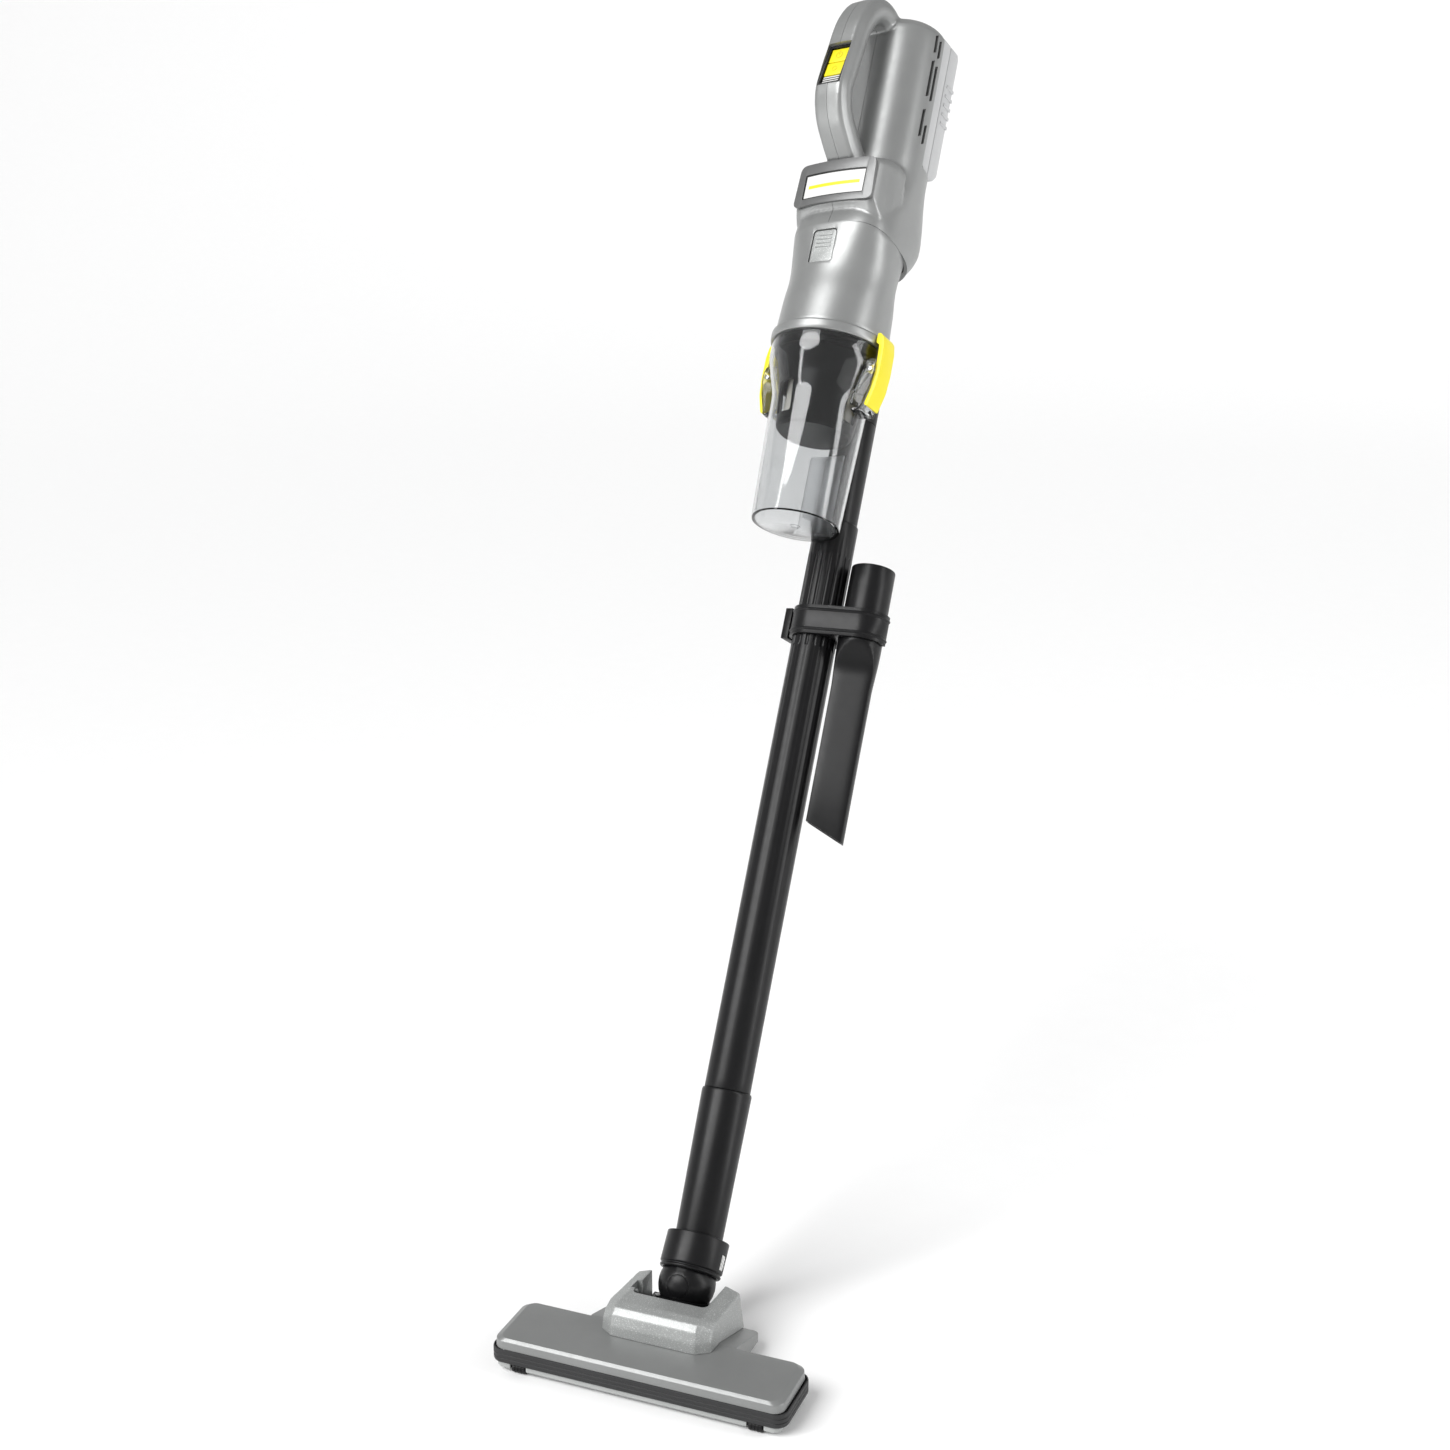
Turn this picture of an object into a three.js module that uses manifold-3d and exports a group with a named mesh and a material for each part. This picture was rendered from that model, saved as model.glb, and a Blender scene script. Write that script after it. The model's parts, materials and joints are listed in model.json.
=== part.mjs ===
// A cordless stick vacuum standing on its floor nozzle with its stick leaning back.
// Millimetres, +Z up. +X runs along the nozzle, and the nozzle's front faces -Y.
// The origin is on the floor, under the middle of the rear glide strip of the sole.
import * as THREE from "three";
import { mergeVertices } from "three/addons/utils/BufferGeometryUtils.js";
import { ConvexGeometry } from "three/addons/geometries/ConvexGeometry.js";
import Module from "manifold-3d";

const wasm = await Module();
wasm.setup();

// ---------------------------------------------------------------- driving dimensions
const GAP = 0.3; // between pieces that touch
const ROUND = 36; // facets of a large round shape
const SMALL_ROUND = 16; // facets of a small one

// Attitude of the stick and of the hand unit.
const STICK_LEAN = THREE.MathUtils.degToRad(30.84);
const NECK_LEAN = THREE.MathUtils.degToRad(41);
const UNIT_TURN = THREE.MathUtils.degToRad(-15.5);
const STICK_FOOT = { y: 62, z: 35 }; // where the stick's axis starts; s is measured from here

// Floor nozzle. Widths are half widths in X.
const BAND = { half: 122.7, front: -45.9, back: 14.45, low: 8.6, high: 20.2, corner: 10, wall: 3.2 };
const COVER = { half: 120.2, topHalf: 114.45, front: -44.9, back: 12.6, low: 20.5, edge: 27.6, top: 29.5 };
const SOLE = { half: 118.9, front: -44.3, back: 12.8, low: 3.2, high: 8.2, tongueHalf: 59, tongueBack: 59.5 };
const MOUTH = { half: 72, front: -21, back: -9 };
const REAR_BOX = { half: 62, back: 62.2, low: 5, topFront: 29.5, topBack: 14.0, corner: 9 };
const GLIDE = { half: 84, depth: 8, high: 2.9, rearY: 0, frontY: -28 };
const BRISTLE = { half: 88, depth: 3.6, low: 0.4, high: 9.6, rail: 5, rearY: 8, frontY: -36.5 };
const FRONT_ROLLER = { x: 98.7, half: 6, radius: 4, y: -40.2 };
const REAR_WHEEL = { x: 48, half: 4.5, radius: 8, y: 42 };
const NOZZLE_WALL = 2.5;

// Neck: a ball elbow in a cradle, and a collar that the stick turns in.
const BALL = { y: 59.5, z: 44.2, radius: 23.2, wall: 3.6 };
const COLLAR = { low: 8.5, high: 37.5, radius: 25.6, bore: 21.9 };
const NECK_TUBE = { high: 30, radius: 21.4, bore: 18.2 };
const CAP = { radius: 9, low: 21, dome: 23.5 };
const CRADLE = { bore: 23.8, radius: 26.8, back: 7 };
const THROAT = { y: 44, radius: 13 }; // the air's way down through the cover and the cradle
const HORN_INNER = 31.8;

// Stick, along s.
const SLEEVE = { low: 41.5, high: 162, lowRadius: 19.2, highRadius: 20.7, bore: 18.1, throat: 15.6 };
const SPIGOT = { radius: 17.6, bore: 14.6, low: 14 };
const WAND = { low: 116, high: 655.5, radius: 19.1, bore: 16.6, endRadius: 17.8, socket: 17.95, socketLow: 604 };
const FLUTES = { low: 541, high: 625, count: 18, depth: 0.9 };
const CLIP = { low: 550.5, high: 576, wall: 3 };
const CREVICE = { x: 40.7, q: -9.2, radius: 19, wall: 1.8, low: 371, high: 617, thick: 14, half: 17.2, turn: 22 };

// Hand unit, in its own frame: x across, s along the stick, q forward from the stick's axis.
const PIPE = { low: 610.3, high: 764, radius: 17.6, bore: 14.2, step: 750, endRadius: 15.8 };
const CUP_Q = 59.5;
const CUP = { low: 632, neck: 745, shoulder: 775, high: 790.4, lowRadius: 38, neckRadius: 41.5, radius: 50, wall: 2.4 };
const CUP_BACK_Q = 20.3; // flat back wall of the cup, where the inlet meets it
const PORT = { half: 13, low: 766, high: 784 };
const PIN = { x: 52.8, s: 767.5, radius: 2.1, frontQ: 71.8, backQ: 46.2 };
const LATCH_Q = { back: 50, front: 68 };
const RING = { low: 791, high: 800, radius: 52, bore: 46 };
const SEAM = { s: 885.2, slope: Math.tan(THREE.MathUtils.degToRad(14)) };
const SHELL_WALL = 3;
const BAY = { q: 42, low: 972.5 };
const PLATE = { low: 912.8, high: 952.6, lowHalf: 40.2, highHalf: 38.3, q: 103, thick: 2.6, bow: 220 };
const LABEL = { low: 919, high: 942.6, half: 31.2 };
const HANDLE = { half: 16, thick: 11.5, wall: 3 };
const PANEL = { s: 1027, q: 132.6, tilt: 11.4, half: 11.5, high: 21.5, depth: 7 };
const ROTOR_Q = 56;

// Sections of the hand unit's body: s, half width, middle q, front q, back q, squareness.
const BARREL_SECTIONS = [
  [800.4, 49.6, CUP_Q, 108, 11, 2],
  [830, 49.3, CUP_Q, 104.8, 14.5, 2],
  [860, 49, CUP_Q, 101, 19, 2],
  [905, 49, CUP_Q, 99.5, 19, 2.9],
];
const BODY_SECTIONS = [
  [862, 48.9, CUP_Q, 100.5, 19, 2.1],
  [878, 49, 57, 100, 13, 2.6],
  [892, 48.8, 52, 98.8, 6, 3.1],
  [908, 47.8, 46, 95, 4.5, 3.5],
  [950, 46.4, 42, 84, 4.5, 2.4],
  [985, 46.2, 42, 82, 4.5, 2.3],
  [1085, 45.4, 42, 82, 6, 2.3],
  [1101, 42.5, 42, 79, 9, 2.2],
  [1109, 34, 42, 71, 16, 2.1],
];
// Middle line of the handle bar: q, s.
const HANDLE_LINE = [
  [62, 1093],
  [86, 1101],
  [104, 1094],
  [116, 1073],
  [121, 1046],
  [125, 1020],
  [126, 1003],
  [119, 986],
  [106, 973],
  [92, 962],
  [76, 950],
];

// ---------------------------------------------------------------- materials
const finish = (color, roughness, metalness = 0, opacity = 1) =>
  new THREE.MeshStandardMaterial({ color, roughness, metalness, opacity, transparent: opacity < 1 });
const silver = finish(0x8d8f8e, 0.38);
const silverLight = finish(0xa3a5a4, 0.35);
const coverGray = finish(0x838584, 0.42);
const lightGray = finish(0xb2b4b3, 0.5);
const black = finish(0x1d1d1e, 0.45);
const bandBlack = finish(0x3c3c3d, 0.7);
const rubber = finish(0x161616, 0.85);
const yellow = finish(0xf8ea1e, 0.4);
const white = finish(0xf2f2f0, 0.4);
const clear = finish(0xc9cccc, 0.1, 0, 0.35);
const frosted = finish(0xd9dada, 0.45);
const steel = finish(0xb9bcc0, 0.25, 1);
const copper = finish(0xb06a3c, 0.35, 1);
const boardGreen = finish(0x1f5c3a, 0.5);
const filterWhite = finish(0xe4e2da, 0.9);
const cellBlue = finish(0x3b5c86, 0.4);
const bristle = finish(0x2a2a2a, 0.95);

// ---------------------------------------------------------------- solids and their joining
// A closed three.js geometry as a manifold-3d solid with its faces pointing out.
function solid(geometry) {
  const bare = geometry.index ? geometry.toNonIndexed() : geometry.clone();
  bare.deleteAttribute("normal");
  bare.deleteAttribute("uv");
  const merged = mergeVertices(bare, 1e-3);
  const triVerts = new Uint32Array(merged.index.array);
  const vertProperties = merged.attributes.position.array;
  const made = new wasm.Manifold(new wasm.Mesh({ numProp: 3, vertProperties, triVerts }));
  if (made.volume() > 0) return made;
  for (let i = 0; i < triVerts.length; i += 3) {
    [triVerts[i], triVerts[i + 1]] = [triVerts[i + 1], triVerts[i]];
  }
  return new wasm.Manifold(new wasm.Mesh({ numProp: 3, vertProperties, triVerts }));
}

function geometryOf(made) {
  const mesh = made.getMesh();
  const geometry = new THREE.BufferGeometry();
  geometry.setAttribute("position", new THREE.BufferAttribute(mesh.vertProperties, 3));
  geometry.setIndex(new THREE.BufferAttribute(mesh.triVerts, 1));
  const flat = geometry.toNonIndexed();
  flat.computeVertexNormals();
  return flat;
}

const join = (...solids) => solids.reduce((sum, next) => sum.add(next));
const cut = (body, ...tools) => tools.reduce((left, tool) => left.subtract(tool), body);

// A named node made of a solid.
function node(group, name, made, material) {
  const mesh = new THREE.Mesh(geometryOf(made), material);
  mesh.name = name;
  group.add(mesh);
  return mesh;
}

// ---------------------------------------------------------------- shapes
function block(x0, x1, y0, y1, z0, z1) {
  const box = new THREE.BoxGeometry(x1 - x0, y1 - y0, z1 - z0);
  return solid(box.translate((x0 + x1) / 2, (y0 + y1) / 2, (z0 + z1) / 2));
}

// A profile of [radius, height] pairs turned about the Z axis.
function turned(profile, facets = ROUND, x = 0, y = 0) {
  const closed = profile[0][0] > 0 ? [...profile, profile[0]] : profile;
  const lathe = new THREE.LatheGeometry(closed.map(([r, z]) => new THREE.Vector2(r, z)), facets);
  return solid(lathe.rotateX(Math.PI / 2).translate(x, y, 0));
}

const rod = (radius, z0, z1, facets = ROUND, x = 0, y = 0) =>
  turned([[0, z0], [radius, z0], [radius, z1], [0, z1]], facets, x, y);

const tube = (radius, bore, z0, z1, facets = ROUND, x = 0, y = 0) =>
  turned([[bore, z0], [radius, z0], [radius, z1], [bore, z1]], facets, x, y);

// A rod along X.
const axle = (radius, x0, x1, y, z, facets = SMALL_ROUND) =>
  solid(new THREE.CylinderGeometry(radius, radius, x1 - x0, facets)
    .rotateZ(Math.PI / 2).translate((x0 + x1) / 2, y, z));

const ball = (radius, y, z, facets = 28) =>
  solid(new THREE.SphereGeometry(radius, facets, facets / 2).translate(0, y, z));

const hull = (points) => solid(new ConvexGeometry(points.map((p) => new THREE.Vector3(...p))));

// Corner points of a rounded rectangle at one height.
function roundedLoop(x0, x1, y0, y1, radius, z, steps = 4) {
  const corners = [[x1 - radius, y1 - radius, 0], [x0 + radius, y1 - radius, 1],
    [x0 + radius, y0 + radius, 2], [x1 - radius, y0 + radius, 3]];
  return corners.flatMap(([cx, cy, quarter]) =>
    Array.from({ length: steps + 1 }, (_, i) => {
      const angle = (quarter + i / steps) * Math.PI / 2;
      return [cx + radius * Math.cos(angle), cy + radius * Math.sin(angle), z];
    }));
}

const roundedSlab = (x0, x1, y0, y1, radius, z0, z1) =>
  hull([...roundedLoop(x0, x1, y0, y1, radius, z0), ...roundedLoop(x0, x1, y0, y1, radius, z1)]);

// An outline of [a, b] pairs drawn in the YZ plane and extruded along X.
function alongX(outline, x0, x1) {
  const shape = new THREE.Shape(outline.map(([y, z]) => new THREE.Vector2(y, z)));
  const body = new THREE.ExtrudeGeometry(shape, { depth: x1 - x0, bevelEnabled: false });
  const turn = new THREE.Matrix4().set(0, 0, 1, x0, 1, 0, 0, 0, 0, 1, 0, 0, 0, 0, 0, 1);
  return solid(body.applyMatrix4(turn));
}

// An outline of [x, s] pairs extruded forward from backQ to frontQ in the hand unit.
function alongQ(outline, backQ, frontQ) {
  const shape = new THREE.Shape(outline.map(([x, s]) => new THREE.Vector2(x, s)));
  const body = new THREE.ExtrudeGeometry(shape, { depth: frontQ - backQ, bevelEnabled: false });
  return solid(body.rotateX(Math.PI / 2).translate(0, -backQ, 0));
}

// A closed solid through rings of points, each ring with as many points as the first.
function loft(rings) {
  const count = rings[0].length;
  const centre = (ring) => ring.reduce((sum, p) => sum.add(p), new THREE.Vector3()).divideScalar(count);
  const points = [...rings.flat(), centre(rings[0]), centre(rings.at(-1))];
  const index = [];
  for (let r = 0; r < rings.length - 1; r += 1) {
    for (let i = 0; i < count; i += 1) {
      const a = r * count + i;
      const b = r * count + (i + 1) % count;
      index.push(a, b, b + count, a, b + count, a + count);
    }
  }
  const last = (rings.length - 1) * count;
  for (let i = 0; i < count; i += 1) {
    const next = (i + 1) % count;
    index.push(points.length - 2, next, i, points.length - 1, last + i, last + next);
  }
  const geometry = new THREE.BufferGeometry().setFromPoints(points);
  geometry.setIndex(index);
  return solid(geometry);
}

// A point of the hand unit's frame.
const at = (x, s, q) => new THREE.Vector3(x, -q, s);

// One ring of the hand unit's body: a squared ellipse with its own depth to the front and to the back.
function bodyRing([s, half, middleQ, frontQ, backQ, squareness], inset = 0, facets = 32) {
  return Array.from({ length: facets }, (_, i) => {
    const angle = (i / facets) * 2 * Math.PI;
    const c = Math.cos(angle);
    const d = Math.sin(angle);
    const power = 2 / squareness;
    const depth = (d > 0 ? frontQ - middleQ : middleQ - backQ) - inset;
    const x = Math.sign(c) * (half - inset) * Math.abs(c) ** power;
    return at(x, s, middleQ + Math.sign(d) * depth * Math.abs(d) ** power);
  });
}

// ---------------------------------------------------------------- the floor nozzle
// The rear box's top falls from the cover's edge to its back end.
const REAR_SLOPE = (REAR_BOX.topFront - REAR_BOX.topBack) / (REAR_BOX.back - COVER.back);
const rearTop = (y) => REAR_BOX.topFront - REAR_SLOPE * (y - COVER.back);

function rearBox(inset, from) {
  const { half, back, low, corner } = REAR_BOX;
  const plan = roundedSlab(-half + inset, half - inset, from, back - inset, corner - inset, low - inset, 40);
  const under = alongX([[from, 0], [back + 1, 0], [back + 1, rearTop(back + 1) - inset],
    [COVER.back, rearTop(COVER.back) - inset], [from, rearTop(COVER.back) - inset]], -half - 1, half + 1);
  return plan.intersect(under);
}

function coverShell() {
  const { half, topHalf, front, back, low, edge, top } = COVER;
  const bevel = 1.6;
  const upper = hull([
    ...roundedLoop(-half, half, front, back, 9, low),
    ...roundedLoop(-topHalf - bevel, topHalf + bevel, front + 0.3, back - 0.3, 8, edge),
    ...roundedLoop(-topHalf, topHalf, front + bevel, back - bevel, 7, top),
  ]);
  const inside = BAND.wall + GAP;
  const skirt = roundedSlab(-BAND.half + inside, BAND.half - inside, BAND.front + inside,
    BAND.back - inside, BAND.corner - inside, SOLE.high + GAP, low + 1);
  const w = NOZZLE_WALL;
  const hollow = hull([
    ...roundedLoop(-BAND.half + inside + w, BAND.half - inside - w, BAND.front + inside + w,
      BAND.back - inside - w, 5, 0),
    ...roundedLoop(-topHalf - 2, topHalf + 2, BAND.front + inside + w, BAND.back - inside - w, 5, edge - w + 1),
  ]);
  const outer = join(upper, skirt, rearBox(0, 0));
  const throat = rod(THROAT.radius, 10, 60, 24, 0, THROAT.y);
  const floor = join(block(-BAND.half, BAND.half, -60, SOLE.back + GAP, 0, SOLE.high + GAP),
    block(-SOLE.tongueHalf - 0.5, SOLE.tongueHalf + 0.5, 0, SOLE.tongueBack + GAP, 0, SOLE.high + GAP));
  return cut(outer, hollow, rearBox(w, 0), throat, floor);
}

function bumperBand() {
  const { half, front, back, low, high, corner, wall } = BAND;
  const outer = hull([
    ...roundedLoop(-half + 0.8, half - 0.8, front + 0.8, back - 0.8, corner, low),
    ...roundedLoop(-half, half, front, back, corner, low + 1.4),
    ...roundedLoop(-half, half, front, back, corner, high - 1.4),
    ...roundedLoop(-half + 0.8, half - 0.8, front + 0.8, back - 0.8, corner, high),
  ]);
  const inner = roundedSlab(-half + wall, half - wall, front + wall, back - wall, corner - wall, 0, 40);
  const opening = block(-REAR_BOX.half - GAP, REAR_BOX.half + GAP, 0, 40, 0, 40);
  return cut(outer, inner, opening);
}

const slot = (strip, extra, z0, z1) => {
  const { half, depth } = strip;
  return (y) => block(-half - extra, half + extra, y - depth / 2 - extra, y + depth / 2 + extra, z0, z1);
};

function solePlate() {
  const { half, front, back, low, high, tongueHalf, tongueBack } = SOLE;
  const plate = hull([
    ...roundedLoop(-half + 1, half - 1, front + 1, back, 7, low),
    ...roundedLoop(-half, half, front, back, 7, low + 1.2),
    ...roundedLoop(-half, half, front, back, 7, high),
  ]);
  const tongue = roundedSlab(-tongueHalf, tongueHalf, back - 8, tongueBack, 6, low + 1.8, high);
  const mouth = block(-MOUTH.half, MOUTH.half, MOUTH.front, MOUTH.back, 0, 20);
  const brushSlot = slot(BRISTLE, GAP, 0, 20);
  const wells = [-1, 1].flatMap((side) => {
    const f = FRONT_ROLLER;
    const r = REAR_WHEEL;
    return [
      block(side * f.x - f.half - 1, side * f.x + f.half + 1, front - 1, f.y + f.radius + 1, 0, 20),
      block(side * r.x - r.half - 1, side * r.x + r.half + 1, r.y - r.radius - 1, r.y + r.radius + 1, 0, 20),
      axle(1.9, side * f.x - 9.5, side * f.x + 9.5, f.y, f.radius),
      axle(2.4, side * r.x - 9.5, side * r.x + 9.5, r.y, r.radius),
    ];
  });
  return cut(join(plate, tongue), mouth, brushSlot(BRISTLE.rearY), brushSlot(BRISTLE.frontY), ...wells);
}

function bristleStrip(y) {
  const rail = block(-BRISTLE.half, BRISTLE.half, y - 1.8, y + 1.8, BRISTLE.rail, BRISTLE.high - 1.6);
  const tuft = block(-BRISTLE.half + 1, BRISTLE.half - 1, y - 1.3, y + 1.3, BRISTLE.low, BRISTLE.rail + 1);
  return join(rail, tuft);
}

function glideStrip(y) {
  const { half, depth, high } = GLIDE;
  return hull([
    ...roundedLoop(-half, half, y - depth / 2, y + depth / 2, 3, 0),
    ...roundedLoop(-half - 0.6, half + 0.6, y - depth / 2 - 0.6, y + depth / 2 + 0.6, 3, high),
  ]);
}

// A low duct from the sole's mouth back to the throat under the ball.
function airDuct() {
  const low = SOLE.high + GAP;
  const wall = 1.4;
  const { half, front, back } = MOUTH;
  const { y, radius } = THROAT;
  const outer = join(
    block(-half - wall, half + wall, front - wall, back + wall, low, 18),
    block(-30, 30, back, y + radius + wall, low, 12.4),
  );
  const inner = join(
    block(-half, half, front, back, 0, 18 - wall),
    block(-30 + wall, 30 - wall, back - 2 * wall, y + radius, low + 0.8, 11.4),
    rod(radius, low + wall, 30, 24, 0, y),
  );
  return cut(outer, inner);
}

// The raised cover round the neck, with an ear on each side of the ball.
function neckCover() {
  const mirrored = (points) => points.flatMap(([x, y, z]) => [[x, y, z], [-x, y, z]]);
  const back = REAR_BOX.back + 0.4;
  const outer = hull(mirrored([
    [35.4, -9.8, 29.8], [45.9, -2.9, 29.8], [47.4, 12, 29.8], [48, back, rearTop(back) + 0.4],
    [35.2, -8.6, 38], [35.1, -6.0, 46.4], [34.9, -1.5, 50.4], [34.8, 5.4, 52], [34.4, 22.4, 50.6],
    [45.6, -1.2, 38], [45.2, 3.5, 44.8], [44.9, 12, 47.6], [44, back, 44.7], [33, back, 48],
  ]));
  const under = alongX([[-20, 0], [back + 5, 0], [back + 5, rearTop(back + 5) + GAP],
    [COVER.back, COVER.top + GAP], [-20, COVER.top + GAP]], -60, 60);
  const valleyFront = 22.4;
  const opening = block(-HORN_INNER, HORN_INNER, valleyFront, 90, 0, 80);
  const w = NOZZLE_WALL;
  const hollow = hull(mirrored([
    [35.4 - w, -9.8 + w, 20], [45.9 - w, -2.9 + w, 20], [45.9 - w, valleyFront + 8, 20],
    [33.5, -3.5, 45.5], [33, 5.4, 52 - w], [42.6, 5, 43.5], [33, valleyFront + 8, 48.4], [42, valleyFront + 8, 45],
  ]));
  return cut(outer, under, opening, hollow);
}

// The black cup that holds the ball: high in front, low behind, where the stick swings down.
function ballCradle() {
  const shell = cut(ball(CRADLE.radius, BALL.y, BALL.z, 32), ball(CRADLE.bore, BALL.y, BALL.z, 32));
  const back = BALL.y + CRADLE.back;
  const above = alongX([[20, 46], [36, 43], [back, 27], [back, 0], [100, 0], [100, 90], [20, 90]], -40, 40);
  const slope = alongX([[0, 0], [100, 0], [100, rearTop(100) + GAP], [0, rearTop(0) + GAP]], -40, 40);
  const flange = HORN_INNER - GAP;
  const flanges = block(-flange, flange, BALL.y - 18, back, 10, 26);
  const throat = rod(THROAT.radius, 0, 40, 24, 0, THROAT.y);
  const inside = ball(CRADLE.bore, BALL.y, BALL.z, 32);
  return cut(join(shell, flanges), above, slope, throat, inside);
}

// ---------------------------------------------------------------- the neck, along its own axis
function ballElbow() {
  const outer = join(ball(BALL.radius, 0, 0), rod(NECK_TUBE.radius, 0, NECK_TUBE.high));
  const inner = join(ball(BALL.radius - BALL.wall, 0, 0), rod(NECK_TUBE.bore, 0, 60));
  const mouth = (angle) => solid(new THREE.CylinderGeometry(12.5, 12.5, 60, 28)
    .rotateX(Math.PI / 2).translate(0, 0, -30).rotateX(angle));
  return cut(outer, inner, mouth(0), mouth(NECK_LEAN * 0.75));
}

const CAP_TILT = NECK_LEAN - THREE.MathUtils.degToRad(24); // the front cap looks 24 degrees above level
const capRod = (radius, from, to) =>
  solid(new THREE.CylinderGeometry(radius, radius, to - from, 24).translate(0, -(from + to) / 2, 0)
    .rotateX(CAP_TILT));

function swivelCollar() {
  const { low, high, radius, bore } = COLLAR;
  const ring = turned([[bore, low], [radius - 1.4, low], [radius - 0.5, low + 1.2], [radius - 0.5, low + 2.2],
    [radius - 1.3, low + 2.8], [radius - 1.3, low + 3.6], [radius, low + 4.4], [radius, high - 1.2],
    [radius - 1.2, high], [bore, high]]);
  const window = block(radius - 2.2, radius + 4, -4.6, 4.6, 15.2, 27.8);
  return cut(ring, window);
}

function lockSlider() {
  const ribs = [0, 1, 2].map((i) => block(24.2, 25.4, -2.8, 2.8, 18.4 + i * 2.8, 19.6 + i * 2.8));
  return join(block(COLLAR.radius - 1.9, 24.6, -4.2, 4.2, 15.7, 27.3), ...ribs);
}

// ---------------------------------------------------------------- the stick
// Where the neck's axis meets the stick's: r from the ball's centre, s up the stick.
const CROSSING = (() => {
  const rise = BALL.z - STICK_FOOT.z;
  const run = BALL.y - STICK_FOOT.y;
  const bend = Math.sin(NECK_LEAN - STICK_LEAN);
  return {
    r: (rise * Math.sin(STICK_LEAN) - run * Math.cos(STICK_LEAN)) / bend,
    s: (rise * Math.sin(NECK_LEAN) - run * Math.cos(NECK_LEAN)) / bend,
  };
})();

function lowerSleeve() {
  const { low, high, lowRadius, highRadius, bore, throat } = SLEEVE;
  const taper = turned([[0, low], [lowRadius, low], [lowRadius + 0.15, low + 3], [highRadius, high - 2],
    [highRadius - 0.6, high], [0, high]]);
  const tilt = NECK_LEAN - STICK_LEAN;
  const neckRod = (radius, from, to) => solid(new THREE.CylinderGeometry(radius, radius, to - from, ROUND)
    .rotateX(Math.PI / 2).translate(0, 0, (from + to) / 2).rotateX(-tilt).translate(0, 0, CROSSING.s));
  const reach = SPIGOT.low - CROSSING.r;
  const outer = join(taper, neckRod(SPIGOT.radius, reach, 4));
  return cut(outer, rod(throat, 48, 120), rod(bore, WAND.low - GAP, high + 1), neckRod(SPIGOT.bore, reach - 1, 6));
}

function wandTube() {
  const { low, high, radius, bore, endRadius, socket, socketLow } = WAND;
  const step = SLEEVE.high + GAP;
  const body = turned([[bore - 1.2, low], [endRadius, low], [endRadius, step], [radius, step],
    [radius, high - 1], [radius - 0.5, high], [socket, high], [socket, socketLow], [bore, socketLow],
    [bore, step + 12], [bore - 1.2, step]]);
  const grooves = Array.from({ length: FLUTES.count }, (_, i) => {
    const angle = ((i + 0.5) / FLUTES.count) * 2 * Math.PI;
    const away = radius + 1.4 - FLUTES.depth;
    return rod(1.4, FLUTES.low, FLUTES.high, 6, away * Math.cos(angle), away * Math.sin(angle));
  });
  return cut(body, ...grooves);
}

const circlePoints = (radius, z, x = 0, y = 0) => Array.from({ length: ROUND }, (_, i) => {
  const angle = (i / ROUND) * 2 * Math.PI;
  return [x + radius * Math.cos(angle), y + radius * Math.sin(angle), z];
});

// A belt round the wand and the tool's socket, open at the tool's side.
function toolClip() {
  const { low, high, wall } = CLIP;
  const { x, q, radius } = CREVICE;
  const belt = (grow, z0, z1) => hull([z0, z1].flatMap((z) =>
    [...circlePoints(WAND.radius + wall + grow, z), ...circlePoints(radius + wall + grow, z, x, -q)]));
  const lines = [[low + 3, low + 5.4], [high - 5.4, high - 3]].map(([z0, z1]) => belt(0.9, z0, z1));
  const mouth = block(x - 26, x + 40, -q + 7, 60, low - 1, high + 1);
  return cut(join(belt(0, low, high), ...lines), mouth,
    rod(WAND.radius + GAP, low - 1, high + 1), rod(radius + GAP, low - 1, high + 1, ROUND, x, -q));
}

function clipTab() {
  const x = -WAND.radius - CLIP.wall - 0.9;
  const ribs = [0, 1, 2, 3].map((i) => block(x - 8, x - 6.8, -6.4 + i * 3.6, -4.6 + i * 3.6, 552, 575));
  return join(block(x - 7, x - GAP, -8, 8, 550, 577), ...ribs);
}

// Round at the top, with two flat sides that run down to a thin slanted tip.
function creviceTool() {
  const { radius, wall, low, high, thick, half } = CREVICE;
  const form = (r, grow, z0, z1) => {
    const deep = thick / 2 + grow;
    const flats = alongX([[-deep, low - 1], [deep, low - 1], [deep, 520], [r, 546], [r, high + 1],
      [-r, high + 1], [-r, 546], [-deep, 520]], -40, 40);
    const wide = half + grow;
    return turned([[0, z0], [wide, z0], [wide, 520], [r, 546], [r, z1], [0, z1]]).intersect(flats);
  };
  const outer = form(radius, 0, low, high);
  const inner = form(radius - wall, -wall, low - 1, high + 1);
  const tip = hull([[-30, -30, 398], [-30, 30, 398], [-4, -30, low + 2.6], [-4, 30, low + 2.6],
    [30, -30, low], [30, 30, low], [30, -30, low - 9], [30, 30, low - 9], [-30, -30, low - 9], [-30, 30, low - 9]]);
  return cut(outer, inner, tip);
}

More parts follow.
